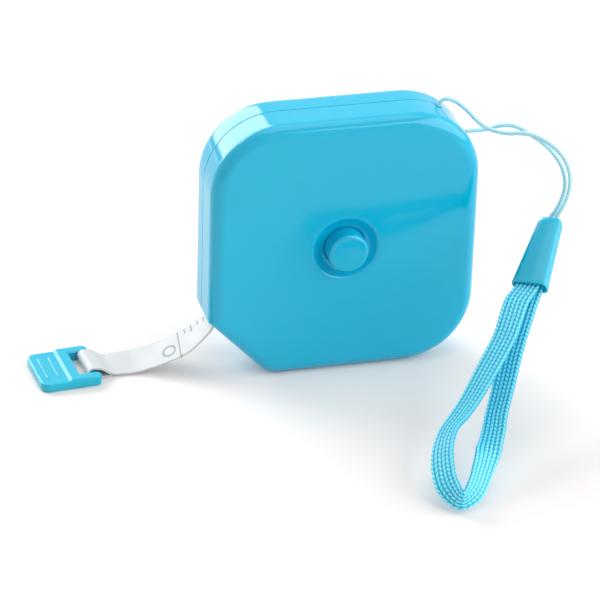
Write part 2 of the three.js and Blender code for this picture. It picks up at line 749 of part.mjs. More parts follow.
// A station of the webbing inside the ferrule's mouth: a point of each edge, in the upper or the lower layer
function tuckStation(side, depth) {
  const length = ferruleMouth.distanceTo(ferruleTop);
  const place = (edge) => {
    const layer = side * (webbingThickness + fitGap) / 2;
    const across = side * (edge * webbingWidth / 2 - webbingAside);
    return new THREE.Vector3(across, layer, length - depth).applyMatrix4(ferruleFrame());
  };
  return [place(-1), place(1)];
}

// The webbing's two edges, from one layer at the ferrule, round the loop and back as the other layer
const webbingOuterEdge = [
  [25.5, -26.9, 23.5], [23.5, -29.8, 21.5], [21.7, -32.5, 19.4], [19.5, -35, 17.7], [17.2, -37.5, 15.9],
  [14.9, -40, 14], [12.6, -42.5, 12.2], [10, -45, 10.6], [7.2, -47.6, 8.9], [5.1, -50.9, 7.2], [4, -54.6, 5.2],
  [4.2, -58.3, 2.8], [7.7, -61.1, 0.6], [11.9, -60.3, 1.7], [14.3, -57.6, 3.3], [16.3, -54.7, 4.7], [18.2, -52, 7.2],
  [19.7, -48.9, 8.8], [21, -45.8, 10.3], [22.6, -43, 12], [24.2, -40.3, 13.9], [25.7, -37.6, 16], [27.3, -35.1, 18.2],
  [29, -32.6, 20.4], [30.8, -30, 22.5],
];
const webbingInnerEdge = [
  [29.2, -29.9, 23.5], [27.3, -32.7, 21.7], [25.3, -35.6, 20], [22.9, -38.4, 18.2], [20.4, -41, 16.5],
  [17.9, -43.6, 15], [15.3, -46.2, 13.5], [12.6, -48.7, 12.2], [9.9, -50.9, 11.2], [8.3, -53.6, 9.5],
  [7.6, -56.5, 7.7], [7.5, -59.4, 6.1], [7.8, -62.2, 5.3], [9.4, -59.8, 5.8], [11, -56.7, 6.7], [12.5, -53.4, 7.3],
  [14.1, -49.6, 6.8], [15.8, -46.4, 7.5], [17.4, -43.1, 8.7], [19.1, -40.1, 10.5], [20.6, -37.3, 12.6],
  [22.1, -34.6, 14.9], [23.7, -32, 17.4], [25.4, -29.6, 19.7], [27.1, -27, 22],
];

function webbing() {
  const depths = [webbingTuck, webbingTuck / 2, 0];
  const enter = depths.map((depth) => tuckStation(1, depth));
  const leave = depths.reverse().map((depth) => tuckStation(-1, depth));
  const splines = [webbingOuterEdge, webbingInnerEdge].map((edge, i) => {
    const route = edge.map((point) => new THREE.Vector3(...point));
    const stations = [...enter.map((pair) => pair[i]), ...route, ...leave.map((pair) => pair[i])];
    return new THREE.CatmullRomCurve3(stations, false, 'centripetal');
  });
  const steps = 2 * roundSteps;
  const pairs = [];
  for (let i = 0; i <= steps; i += 1) {
    pairs.push(splines.map((spline) => spline.getPoint(i / steps)));
  }
  const middles = pairs.map(([outer, inner]) => outer.clone().lerp(inner, middleShare));
  const rings = pairs.map(([outer, inner], i) => {
    const way = middles[Math.min(i + 1, steps)].clone().sub(middles[Math.max(i - 1, 0)]);
    const lift = way.cross(inner.clone().sub(outer)).setLength(webbingThickness / 2);
    return [outer.clone().add(lift), inner.clone().add(lift), inner.clone().sub(lift), outer.clone().sub(lift)];
  });
  return closed(loft(rings));
}

const model = new THREE.Group();

function add(name, geometry, finish) {
  const mesh = new THREE.Mesh(geometry, new THREE.MeshStandardMaterial(finish));
  mesh.name = name;
  model.add(mesh);
}

add('front_shell', frontShell(), casePlastic);
add('rear_shell', rearShell(), casePlastic);
add('button', button(), casePlastic);
add('button_spring', buttonSpring(), springSteel);
add('reel', reel(), innerPlastic);
add('spring_cover', turned(washerProfile(arborRadius + fitGap, hubBore - fitGap, coverFront, coverRear)), innerPlastic);
add('mainspring', mainspring(), springSteel);
add('slip_washer', turned(washerProfile(arborRadius + fitGap, hubBore - fitGap, washerFront, washerRear)), innerPlastic);
add('tape_roll', tapeRoll(), tapeCloth);
add('tape_lead', tapeLead(), tapeCloth);
add('tape_flat', tapeFlat(), tapeCloth);
add('tape_hem', tapeHem(), tapeCloth);
add('end_tab', endTab(), casePlastic);
add('cord_inside', cordInside(), cordNylon);
add('cord_upper', cordOutside(upperCordRoute), cordNylon);
add('cord_lower', cordOutside(lowerCordRoute), cordNylon);
add('strap_ferrule', ferrule(), casePlastic);
add('strap_webbing', webbing(), webbingNylon);

export default model;
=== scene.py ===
import math
import bpy
import bmesh
import numpy as np
from mathutils import Matrix, Vector


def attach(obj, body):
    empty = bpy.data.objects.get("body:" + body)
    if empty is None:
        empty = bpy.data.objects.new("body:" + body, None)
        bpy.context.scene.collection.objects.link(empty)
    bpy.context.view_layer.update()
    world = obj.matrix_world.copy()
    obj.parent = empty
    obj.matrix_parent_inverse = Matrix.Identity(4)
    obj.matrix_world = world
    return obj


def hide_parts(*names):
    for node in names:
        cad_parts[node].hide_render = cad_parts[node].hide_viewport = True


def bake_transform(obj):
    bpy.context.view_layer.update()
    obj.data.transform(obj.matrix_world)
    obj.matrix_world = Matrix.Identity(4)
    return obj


# A pocket cloth tape measure, dressed for the look of the photograph. Every length below is in millimetres
# unless its name ends in METRES, and the meshes are turned into metres when they are made.
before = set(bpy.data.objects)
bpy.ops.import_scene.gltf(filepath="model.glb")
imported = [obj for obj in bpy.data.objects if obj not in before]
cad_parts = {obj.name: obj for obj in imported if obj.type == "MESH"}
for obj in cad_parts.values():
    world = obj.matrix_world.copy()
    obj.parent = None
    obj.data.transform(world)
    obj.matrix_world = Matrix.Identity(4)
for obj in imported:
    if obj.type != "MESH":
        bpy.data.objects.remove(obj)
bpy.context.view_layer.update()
MM = 0.001

# The camera stands where the photograph was taken from
CAMERA_PLACE = (-164.96, -576.79, 345.6)
CAMERA_AZIMUTH = math.radians(15.35)
CAMERA_ELEVATION = math.radians(29.16)
CAMERA_ROLL = math.radians(1.86)
CAMERA_LENS = 214.43
SENSOR_WIDTH = 36.0

# The case
HALF_WIDTH = 26.0
HEIGHT = 52.6
HALF_DEPTH = 7.5
WALL = 1.6
CORNER = 13.6
CHAMFER_ACROSS, CHAMFER_RISE = 11.6, 12.1
MOUTH_CORNER, FOOT_CORNER = 0.5, 5.2
FRONT_EDGE, REAR_EDGE = 2.5, 3.8
FIT = 0.3
RIM_FRONT, RIM_REAR = 0.19, 0.31
RIM_ROUND = 0.12
TONGUE, TONGUE_REACH, REBATE = 0.5, 1.2, 0.8
THRUST_INNER, THRUST_OUTER, THRUST_HEIGHT = 15.0, 16.2, 0.5
ARBOR_FOOT, ARBOR, ARBOR_FRONT = 4.4, 2.5, -0.9
GUIDE, GUIDE_FRONT = 1.0, -6.7
BOSS, BOSS_INSET, BOSS_ANGLE = 2.1, 4.7, 43.0
CORD_HOLE_ANGLE = 17.7
INNER_DEPTH = HALF_DEPTH - WALL

# The button in its dish
CENTRE_HEIGHT = 26.3
BUTTON, BUTTON_PROUD, BUTTON_EDGE, BUTTON_CROWN = 3.85, 2.3, 0.6, 0.06
BUTTON_DRAFT, BUTTON_BORE, BUTTON_WALL, BUTTON_SIDES = 0.15, 2.3, 1.2, 96
HOLE, DISH, DISH_DEPTH, COLLAR = 4.06, 6.3, 1.2, 6.0
DISH_LIP, DISH_EDGE = 0.3, 0.09
HOLE_EDGE, HOLE_EDGE_RISE, HOLE_EDGE_DROP = 0.12, 0.03, 0.14
BUTTON_FLARE, BUTTON_FLARE_LENGTH = 0.15, 0.2
WEB_REAR, BRAKE_FRONT, BRAKE_REAR, BRAKE, BRAKE_EDGE = -4.3, -4.0, -3.1, 9.0, 0.1

# The tape
TAPE_WIDTH, TAPE_THICKNESS = 7.5, 0.36
ROLL_CORE, ROLL_TURNS, TAPE_WOUND = 13.3, 14.6, 1477.0
MOUTH_X, MOUTH_Z, MOUTH_ANGLE = -23.924, 9.934, math.radians(60)
MOUTH_HEIGHT, MOUTH_WIDTH, MOUTH_ROUND = 1.9, 8.4, 0.3
BAR_X, BAR_Y, BAR_Z, BAR = -47.524, 2.0, 1.25, 0.5
TAB_TURN = math.radians(4.7)
MARK_PITCH = 25.4 / 16

# The wrist strap
CORD = 0.85
WEB_WIDTH, WEB_THICKNESS, WEB_TUCK, WEB_ASIDE = 4.8, 0.8, 3.0, 0.2


# Camera

def make_camera():
    data = bpy.data.cameras.new("camera")
    data.lens = CAMERA_LENS
    data.sensor_width = SENSOR_WIDTH
    camera = bpy.data.objects.new("camera", data)
    bpy.context.scene.collection.objects.link(camera)
    forward = Vector((
        math.sin(CAMERA_AZIMUTH) * math.cos(CAMERA_ELEVATION),
        math.cos(CAMERA_AZIMUTH) * math.cos(CAMERA_ELEVATION),
        -math.sin(CAMERA_ELEVATION),
    ))
    level = Vector((math.cos(CAMERA_AZIMUTH), -math.sin(CAMERA_AZIMUTH), 0))
    upright = level.cross(forward)
    right = level * math.cos(CAMERA_ROLL) + upright * math.sin(CAMERA_ROLL)
    up = upright * math.cos(CAMERA_ROLL) - level * math.sin(CAMERA_ROLL)
    basis = Matrix((right, up, -forward)).transposed().to_4x4()
    camera.matrix_world = Matrix.Translation(Vector(CAMERA_PLACE) * MM) @ basis
    bpy.context.scene.camera = camera


make_camera()


# Lines and meshes

def travelled(points):
    """How far along a line each of its points is."""
    return np.concatenate([[0], np.cumsum(np.linalg.norm(np.diff(points, axis=0), axis=1))])


def at_lengths(points, along, lengths):
    """Points at given lengths along a line."""
    return np.stack([np.interp(lengths, along, points[:, k]) for k in range(points.shape[1])], 1)


def resample(points, count):
    """The points of a line, set even distances apart."""
    points = np.asarray(points, float)
    along = travelled(points)
    return at_lengths(points, along, np.linspace(0, along[-1], count))


def spline(points, fine=24):
    """A smooth centripetal curve through the points."""
    p = np.asarray(points, float)
    p = np.vstack([2 * p[0] - p[1], p, 2 * p[-1] - p[-2]])
    knots = np.concatenate([[0], np.cumsum(np.sqrt(np.linalg.norm(np.diff(p, axis=0), axis=1)))])
    out = []
    for i in range(1, len(p) - 2):
        t0, t1, t2, t3 = knots[i - 1:i + 3]
        for t in np.linspace(t1, t2, fine, endpoint=False):
            a1 = (t1 - t) / (t1 - t0) * p[i - 1] + (t - t0) / (t1 - t0) * p[i]
            a2 = (t2 - t) / (t2 - t1) * p[i] + (t - t1) / (t2 - t1) * p[i + 1]
            a3 = (t3 - t) / (t3 - t2) * p[i + 1] + (t - t2) / (t3 - t2) * p[i + 2]
            b1 = (t2 - t) / (t2 - t0) * a1 + (t - t0) / (t2 - t0) * a2
            b2 = (t3 - t) / (t3 - t1) * a2 + (t - t1) / (t3 - t1) * a3
            out.append((t2 - t) / (t2 - t1) * b1 + (t - t1) / (t2 - t1) * b2)
    out.append(p[-2])
    return np.array(out)


def length_of(points):
    """The length of a line, in the units of its points."""
    return float(np.linalg.norm(np.diff(points, axis=0), axis=1).sum())


def unit(vectors):
    return vectors / np.linalg.norm(vectors, axis=1)[:, None]


def directions(points):
    """The unit direction of a line at each of its points."""
    return unit(np.gradient(points, axis=0))


def make_mesh(name, points, faces, uvs=None, creases=None):
    """A smooth mesh from points in millimetres. uvs holds one pair for each corner of each face."""
    mesh = bpy.data.meshes.new(name)
    mesh.from_pydata([tuple(p) for p in np.asarray(points, float) * MM], [], faces)
    if uvs is not None:
        layer = mesh.uv_layers.new(name="UVMap")
        layer.data.foreach_set("uv", np.asarray(uvs, np.float32).ravel())
    mesh.shade_smooth()
    if creases is not None:
        mesh.set_sharp_from_angle(angle=math.radians(creases))
    made = bpy.data.objects.new(name, mesh)
    bpy.context.scene.collection.objects.link(made)
    return made


def outward(made):
    """Turns all faces of a closed mesh to look out."""
    shape = bmesh.new()
    shape.from_mesh(made.data)
    bmesh.ops.recalc_face_normals(shape, faces=shape.faces)
    if shape.calc_volume(signed=True) < 0:
        bmesh.ops.reverse_faces(shape, faces=shape.faces)
    shape.to_mesh(made.data)
    shape.free()
    return made


def loft(name, rings, wrapped=False, creases=40, uv_rings=None):
    """Skins rings of equal counts. Faces close the two ends, or wrapped joins the last ring to the first."""
    count = len(rings[0])
    points = np.concatenate([np.asarray(r, float) for r in rings])
    faces, uvs = [], []
    last = len(rings) if wrapped else len(rings) - 1
    for r in range(last):
        low, high = r * count, (r + 1) % len(rings) * count
        for i in range(count):
            j = (i + 1) % count
            faces.append((low + i, low + j, high + j, high + i))
            if uv_rings is not None:
                here, there = uv_rings[r], uv_rings[r + 1]
                uvs += [here[i], here[i + 1], there[i + 1], there[i]]
    if not wrapped:
        for r in (0, len(rings) - 1):
            faces.append(tuple(r * count + i for i in range(count)))
            if uv_rings is not None:
                uvs += [uv_rings[r][i] for i in range(count)]
    return outward(make_mesh(name, points, faces, uvs if uv_rings is not None else None, creases))


def tube(name, line, radius, sides=14):
    """A round tube along a line, its UV running round it and along it in millimetres."""
    way = directions(line)
    normal = np.cross(way[0], (0.0, 0.0, 1.0))
    normal /= np.linalg.norm(normal)
    along = travelled(line)
    rings, uv_rings = [], []
    for i, point in enumerate(line):
        normal = normal - way[i] * (normal @ way[i])
        normal /= np.linalg.norm(normal)
        other = np.cross(way[i], normal)
        angles = np.arange(sides) / sides * 2 * math.pi
        rings.append(point + radius * (np.cos(angles)[:, None] * normal + np.sin(angles)[:, None] * other))
        uv_rings.append([(2 * math.pi * radius * k / sides, along[i]) for k in range(sides + 1)])
    return loft(name, rings, uv_rings=uv_rings)


def round_axis(radius, y, angles):
    """Points round the button's axis, at one depth or at a depth for each angle."""
    across, up = radius * np.cos(angles), CENTRE_HEIGHT + radius * np.sin(angles)
    return np.stack([across, np.full(len(angles), y), up], 1)


def quarter(steps):
    """The sine and the cosine at even steps through a quarter turn."""
    return [(math.sin(a), math.cos(a)) for a in np.linspace(0, math.pi / 2, steps + 1)]


def combined(made, others, operation, solver):
    for other in others:
        change = made.modifiers.new("change", "BOOLEAN")
        change.operation = operation
        change.solver = solver
        change.object = other
    return applied(made, others)


def cut(made, cutters):
    """Cuts closed meshes out of a piece, then removes them."""
    return combined(made, cutters, "DIFFERENCE", "EXACT")


def joined(made, others):
    """Joins closed meshes to a piece, then removes them."""
    return combined(made, others, "UNION", "MANIFOLD")


def applied(made, spent=()):
    """Turns a piece's modifiers into its mesh, and removes the meshes that they used."""
    bpy.context.view_layer.update()
    graph = bpy.context.evaluated_depsgraph_get()
    mesh = bpy.data.meshes.new_from_object(made.evaluated_get(graph))
    made.modifiers.clear()
    made.data = mesh
    for other in spent:
        bpy.data.objects.remove(other)
    return made


def creased(made, degrees):
    """Smooth shading with sharp creases, weighted so that large flat faces stay flat."""
    made.data.shade_smooth()
    made.data.set_sharp_from_angle(angle=math.radians(degrees))
    change = made.modifiers.new("weights", "WEIGHTED_NORMAL")
    change.keep_sharp = True
    return applied(made)


# Materials

class Nodes:
    """The node tree of a material or a world, with short ways to add to it."""

    def __init__(self, owner):
        owner.use_nodes = True
        self.tree = owner.node_tree

    def put(self, socket, value):
        if isinstance(value, bpy.types.NodeSocket):
            self.tree.links.new(value, socket)
        else:
            socket.default_value = value

    def node(self, kind, inputs=None, **settings):
        made = self.tree.nodes.new(kind)
        for key, value in settings.items():
            setattr(made, key, value)
        for key, value in (inputs or {}).items():
            self.put(made.inputs[key], value)
        return made

    def math(self, operation, *values):
        made = self.node("ShaderNodeMath", operation=operation)
        for socket, value in zip(made.inputs, values):
            self.put(socket, value)
        return made.outputs[0]

    def ramp(self, value, low, high, to_low=0.0, to_high=1.0):
        """A smooth step between two values, as the given one goes from low to high."""
        return self.node("ShaderNodeMapRange", {
            "Value": value, "From Min": low, "From Max": high, "To Min": to_low, "To Max": to_high,
        }, interpolation_type="SMOOTHSTEP").outputs[0]

    def seen(self):
        """1 for rays from the camera, glossy rays and transmission rays, and 0 for all others."""
        path = self.node("ShaderNodeLightPath")
        shown = path.outputs["Is Camera Ray"]
        for ray in ("Is Glossy Ray", "Is Transmission Ray"):
            shown = self.math("MAXIMUM", shown, path.outputs[ray])
        return shown


class Finish(Nodes):
    """One material, built from nodes round a Principled shader."""

    def __init__(self, name):
        self.material = bpy.data.materials.new(name)
        super().__init__(self.material)
        self.shader = self.tree.nodes["Principled BSDF"]

    def surface(self, inputs):
        """Sets inputs of the shader, each to a value or to a node's output."""
        for key, value in inputs.items():
            self.put(self.shader.inputs[key], value)

    def mix(self, share, first, second):
        made = self.node("ShaderNodeMix", data_type="RGBA")
        for socket, value in zip((made.inputs[0], made.inputs[6], made.inputs[7]), (share, first, second)):
            self.put(socket, value)
        return made.outputs[2]

    def place(self):
        """Object coordinates in millimetres."""
        at = self.node("ShaderNodeTexCoord").outputs["Object"]
        scaled = self.node("ShaderNodeVectorMath", {0: at}, operation="SCALE")
        scaled.inputs["Scale"].default_value = 1 / MM
        return scaled.outputs[0]

    def uv(self):
        """Millimetres across and along a strip or a cord."""
        flat = self.node("ShaderNodeUVMap", uv_map="UVMap").outputs[0]
        parts = self.node("ShaderNodeSeparateXYZ", {0: flat})
        return parts.outputs[0], parts.outputs[1]

    def noise(self, scale, detail=2.0, roughness=0.5):
        """Noise whose scale counts its waves in a millimetre."""
        made = self.node("ShaderNodeTexNoise", {
            "Vector": self.place(), "Scale": scale, "Detail": detail, "Roughness": roughness,
        })
        return made.outputs["Fac"]

    def waves(self, distance, pitch):
        return self.math("SINE", self.math("MULTIPLY", distance, 2 * math.pi / pitch))

    def bump(self, height, depth, strength):
        """Bump whose height of 1 stands for a depth in millimetres."""
        made = self.node("ShaderNodeBump", {"Height": height})
        made.inputs["Strength"].default_value = strength
        made.inputs["Distance"].default_value = depth * MM
        self.put(self.shader.inputs["Normal"], made.outputs[0])


# Noise patterns: waves in a millimetre, layers and roughness
FLOW, SCUFFS, RIPPLE, FINE_RIPPLE = (0.045, 3.0, 0.55), (0.9, 3.0, 0.6), (0.12, 1.0), (1.4, 2.0, 0.5)
GRAIN, THREADS, SOIL = (6.0, 4.0, 0.6), (14.0, 3.0, 0.6), (0.35, 4.0, 0.6)
FINE_RIPPLE_SHARE, RIPPLE_DEPTH, GRAIN_DEPTH = 0.03, 0.05, 0.01
PLASTIC_IOR, MILK_DEPTH, MILK_REACH = 1.49, 1.2, (0.3, 0.8, 1.0)


def plastic(name, colour, deep, roughness, milky=0.05, ripples=0.35):
    """Moulded plastic: a faint flow in its colour, fine scuffs in its gloss, a slight ripple of the mould."""
    finish = Finish(name)
    flow = finish.ramp(finish.noise(*FLOW), 0.3, 0.7)
    finish.surface({
        "Base Color": finish.mix(flow, (*deep, 1), (*colour, 1)),
        "Roughness": finish.ramp(finish.noise(*SCUFFS), 0.35, 0.75, roughness * 0.9, roughness * 1.2),
        "IOR": PLASTIC_IOR,
        "Subsurface Weight": milky,
        "Subsurface Radius": MILK_REACH,
        "Subsurface Scale": MILK_DEPTH * MM,
    })
    fine = finish.math("MULTIPLY", finish.noise(*FINE_RIPPLE), FINE_RIPPLE_SHARE)
    finish.bump(finish.math("ADD", finish.noise(*RIPPLE), fine), RIPPLE_DEPTH, ripples)
    return finish.material


def steel(name):
    finish = Finish(name)
    grain = finish.noise(*GRAIN)
    finish.surface({
        "Metallic": 1.0,
        "Base Color": finish.mix(grain, (0.42, 0.44, 0.46, 1), (0.62, 0.63, 0.65, 1)),
        "Roughness": finish.ramp(grain, 0.2, 0.8, 0.22, 0.4),
    })
    finish.bump(grain, GRAIN_DEPTH, 0.4)
    return finish.material


case_plastic = plastic("case_plastic", (0.0, 0.475, 0.72), (0.0, 0.455, 0.70), roughness=0.10)
tab_plastic = plastic("tab_plastic", (0.005, 0.50, 0.70), (0.0, 0.485, 0.685), roughness=0.13, milky=0.1,
                      ripples=0.06)
ferrule_plastic = plastic("ferrule_plastic", (0.0, 0.48, 0.68), (0.0, 0.465, 0.665), roughness=0.14,
                          milky=0.5, ripples=0.06)
inner_plastic = plastic("inner_plastic", (0.80, 0.82, 0.83), (0.76, 0.79, 0.81), roughness=0.4)
spring_steel = steel("spring_steel")

YARN_PITCH, YARN_SLANT, YARN_DEPTH, THREAD_DEPTH = 0.62, 0.93, 0.05, 0.05


def cord_finish():
    """Fine braid: slanted yarns round the cord in both directions, with painted shade between the yarns and a
    painted highlight on them.
    """
    finish = Finish("strap_cord")
    across, along = finish.uv()
    aside = finish.math("MULTIPLY", across, YARN_SLANT)
    slanted = [finish.waves(finish.math(way, along, aside), YARN_PITCH) for way in ("ADD", "SUBTRACT")]
    yarns = finish.ramp(finish.math("MAXIMUM", *slanted), -0.4, 1.0)
    # painted shade and painted highlight: the colour is darker between the yarns and paler on their crests
    finish.surface({
        "Base Color": finish.mix(yarns, (0.28, 0.68, 0.83, 1), (0.56, 0.90, 0.98, 1)),
        "Roughness": 0.55,
        "Sheen Weight": 0.3,
        "Sheen Roughness": 0.4,
    })
    finish.bump(yarns, YARN_DEPTH, 0.8)
    return finish.material


def webbing_finish():
    """Woven nylon: rows of chevron stitches. The colour has painted shade between the stitches and a painted
    highlight on their crests, with a random unevenness from the threads.
    """
    finish = Finish("strap_webbing")
    height = finish.node("ShaderNodeAttribute", attribute_name="stitch").outputs["Fac"]
    threads = finish.noise(*THREADS)
    uneven = finish.math("MULTIPLY", finish.math("SUBTRACT", threads, 0.5), 0.35)
    # stitch height plus a random unevenness of the threads, which sets the painted shade and painted
    # highlight
    stitch_light_and_threads = finish.math("ADD", height, uneven)
    # painted shade: the colour darkens from the stitch crests down into the grooves between them
    base = finish.mix(finish.ramp(stitch_light_and_threads, 0.1, 0.6), (0.0, 0.38, 0.68, 1), (0.02, 0.74, 1.0, 1))
    # painted highlight: the colour turns a pale, almost white cyan on the stitch crests
    finish.surface({
        "Base Color": finish.mix(finish.ramp(stitch_light_and_threads, 0.5, 0.9), base, (0.40, 0.93, 1.0, 1)),
        "Roughness": 0.3,
        "Sheen Weight": 0.25,
        "Sheen Roughness": 0.35,
    })
    finish.bump(threads, THREAD_DEPTH, 0.6)
    return finish.material


# The tape's print, measured from its far edge and from its zero mark. Each line is dark as far as its half
# width and fades out by its fade
MARKS_START, MARK_HALF, MARK_FADE = -0.4, 0.11, 0.17
MARK_SHORT, MARK_EVEN_MORE, MARK_INCH_MORE = 1.6, 0.65, 6.0
LINE_INSET, LINE_HALF, LINE_FADE, LINE_INK = 0.22, 0.05, 0.11, 0.75
ZERO_BEFORE, ZERO_ACROSS, ZERO_LONG, ZERO_WIDE = 2.2, 4.55, 1.42, 1.68
ZERO_RING, ZERO_HALF, ZERO_FADE, ZERO_INK = 0.86, 0.14, 0.18, 0.85
INK_SHARE, WEAVE_PITCH, WEAVE_DEPTH, SOIL_RISE = 0.82, 0.42, 0.012, 0.6


def tape_finish():
    """White coated cloth with sixteenth marks from its far edge, a zero, and a thin line by its near edge."""
    finish = Finish("tape_cloth")
    op = finish.math
    across, along = finish.uv()
    index = op("DIVIDE", along, MARK_PITCH)
    nearest = op("ROUND", index)

    def apart(value, centre):
        return op("ABSOLUTE", op("SUBTRACT", value, centre))

    def every(count):
        left = op("MODULO", op("ABSOLUTE", nearest), count)
        return op("COMPARE", left, 0.0, 0.5)

    off = op("MULTIPLY", apart(index, nearest), MARK_PITCH)
    reach = op("ADD", MARK_SHORT, op("MULTIPLY", every(2.0), MARK_EVEN_MORE))
    reach = op("ADD", reach, op("MULTIPLY", every(16.0), MARK_INCH_MORE))
    mark = finish.ramp(off, MARK_HALF, MARK_FADE, 1.0, 0.0)
    mark = op("MULTIPLY", mark, op("LESS_THAN", across, reach))
    line = finish.ramp(apart(across, TAPE_WIDTH - LINE_INSET), LINE_HALF, LINE_FADE, LINE_INK, 0.0)
    begun = op("GREATER_THAN", along, MARKS_START)
    scale = op("MULTIPLY", op("MAXIMUM", mark, line), begun)
    x = op("DIVIDE", op("ADD", along, ZERO_BEFORE), ZERO_LONG)
    y = op("DIVIDE", op("SUBTRACT", across, ZERO_ACROSS), ZERO_WIDE)
    ring = op("SQRT", op("ADD", op("MULTIPLY", x, x), op("MULTIPLY", y, y)))
    digit = finish.ramp(apart(ring, ZERO_RING), ZERO_HALF, ZERO_FADE, ZERO_INK, 0.0)
    ink = op("MULTIPLY", op("MAXIMUM", scale, digit), INK_SHARE)
    weave = op("MULTIPLY", finish.waves(across, WEAVE_PITCH), finish.waves(along, WEAVE_PITCH))
    soil = finish.noise(*SOIL)
    cloth = finish.mix(soil, (0.60, 0.62, 0.635, 1), (0.645, 0.665, 0.68, 1))
    finish.surface({
        "Base Color": finish.mix(ink, cloth, (0.12, 0.14, 0.15, 1)),
        "Roughness": finish.ramp(soil, 0.3, 0.7, 0.42, 0.55),
    })
    finish.bump(op("ADD", weave, op("MULTIPLY", soil, SOIL_RISE)), WEAVE_DEPTH, 0.5)
    return finish.material


strap_cord = cord_finish()
strap_webbing = webbing_finish()
tape_cloth = tape_finish()


def dress(made, material, slot, body=None, *replaced):
    """Gives a piece its material, the body that it rides on and the nodes that it stands for. The slot is not
    used.
    """
    made.data.materials.clear()
    made.data.materials.append(material)
    if body:
        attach(made, body)
    if replaced:
        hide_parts(*replaced)
    return made


# The free cords

UPPER_CORD = [
    (19, 0, 50.95), (19.7, -0.1, 52), (20.6, -0.3, 52.3), (22.2, -0.7, 51.8), (24.2, -1.6, 50.3),
    (25.9, -2.5, 48.5), (27.6, -3.5, 47.2), (29.3, -4.5, 46.7), (31.2, -5.6, 46.6), (33.4, -7, 47.1),
    (35.4, -8.3, 47.1), (37.6, -9.9, 46.3), (39.4, -11.3, 45), (40.7, -12.6, 43.2), (41.3, -13.8, 40.8),
    (41.1, -14.6, 38.6), (40.4, -15.2, 36.5), (39.5, -15.5, 34.8), (38.6, -15.4, 33.2),
    (38.15, -15.6, 32.4), (37.7, -16.3, 31.8), (32.55, -23.95, 26.4),
]
LOWER_CORD = [
    (24.75, 0, 44.85), (26.1, 0.1, 44.9), (27.6, 0, 44.9), (29.6, -0.3, 45.2), (31, -0.9, 45.9),
    (32.6, -1.9, 46.4), (34.2, -3, 46.3), (35.7, -4.5, 45.7), (37.4, -6.4, 44.9), (39, -8.4, 43.7),
    (40.3, -10.5, 41.9), (40.8, -12.1, 40), (40.7, -13.1, 38.2), (39.9, -13.9, 36), (38.8, -14.3, 34),
    (37.9, -14.4, 32.9), (37.2, -14.85, 32.2), (36.75, -15.55, 31.7), (31.6, -23.2, 26.3),
]

FERRULE_TOP = np.array((37.84, -15, 32.43))
FERRULE_MOUTH = np.array((30.49, -25.94, 24.67))
FERRULE_SIDE = np.array((0.789, -0.605, 0.106))
FERRULE_TOP_SIZE, FERRULE_MOUTH_SIZE = (4.7, 2.7), (7.05, 3.3)
FERRULE_WALL, FERRULE_ROUND, FERRULE_LIP = 0.4, 1.24, 0.12
FERRULE_CROWN, FERRULE_CROWN_DRAWN = 1.7, 0.62
FERRULE_CORNER_STEPS, FERRULE_LEAST_ROUND = 8, 0.12
EYE_EDGE_LOW, EYE_EDGE_HIGH = 0.25, 0.02
STRAND_POINTS = 150

ferrule_along = (FERRULE_MOUTH - FERRULE_TOP) / np.linalg.norm(FERRULE_MOUTH - FERRULE_TOP)
ferrule_across = FERRULE_SIDE - ferrule_along * (FERRULE_SIDE @ ferrule_along)
ferrule_across /= np.linalg.norm(ferrule_across)
ferrule_face = np.cross(ferrule_along, ferrule_across)
ferrule_length = float(np.linalg.norm(FERRULE_MOUTH - FERRULE_TOP))


def in_ferrule(across, face, along):
    """The place of a point given across the ferrule, out from its middle plane and down from its top."""
    return FERRULE_TOP + ferrule_across * across + ferrule_face * face + ferrule_along * along


def rounded_ring(width, thickness, radius, along):
    """A rounded oblong across the ferrule."""
    radius = min(radius, width / 2 - 0.01, thickness / 2 - 0.01)
    ring = []
    for k, (sx, sy) in enumerate(((1, 1), (-1, 1), (-1, -1), (1, -1))):
        for step in range(FERRULE_CORNER_STEPS + 1):
            angle = (k + step / FERRULE_CORNER_STEPS) * math.pi / 2
            ring.append(in_ferrule(sx * (width / 2 - radius) + radius * math.cos(angle),
                                   sy * (thickness / 2 - radius) + radius * math.sin(angle), along))
    return ring


def ferrule():
    """A hollow tapered sleeve, closed round the cords at its top and open at its mouth."""
    def section(along, drawn):
        share = along / ferrule_length
        width, thickness = [top + (mouth - top) * share - 2 * drawn
                            for top, mouth in zip(FERRULE_TOP_SIZE, FERRULE_MOUTH_SIZE)]
        return rounded_ring(width, thickness, max(FERRULE_ROUND - drawn, FERRULE_LEAST_ROUND), along)

    eye = (3 * CORD + FIT, CORD + 2 * FIT)
    rings = [rounded_ring(*eye, CORD / 2, along) for along in (EYE_EDGE_LOW, EYE_EDGE_HIGH)]
    for sine, cosine in quarter(12):
        rings.append(section(FERRULE_CROWN * (1 - cosine), FERRULE_CROWN_DRAWN * (1 - sine)))
    lip = FERRULE_LIP
    for along in np.linspace(FERRULE_CROWN, ferrule_length - lip, 14)[1:]:
        rings.append(section(along, 0.0))
    rings.append(section(ferrule_length - lip * 0.3, lip * 0.3))
    rings.append(section(ferrule_length, lip))
    rings.append(section(ferrule_length, FERRULE_WALL - lip))
    rings.append(section(ferrule_length - lip, FERRULE_WALL))
    cavity = ferrule_length - WEB_TUCK - FIT
    rings.append(section(cavity, FERRULE_WALL))
    rings.append(rounded_ring(*eye, CORD / 2, cavity))
    return loft("strap_ferrule_piece", rings, wrapped=True, creases=50)


def strand(name, route, node):
    """One strand of the cord, and the line that it follows."""
    line = resample(spline([Vector(p) for p in route]), STRAND_POINTS)
    made = tube(name, line, CORD / 2)
    dress(made, strap_cord, "strap_cord", "case", node)
    return made, line


sleeve = dress(ferrule(), ferrule_plastic, "case_plastic", "case", "strap_ferrule")
for node, route in (("cord_upper", UPPER_CORD), ("cord_lower", LOWER_CORD)):
    piece, line = strand(node + "_piece", route, node)

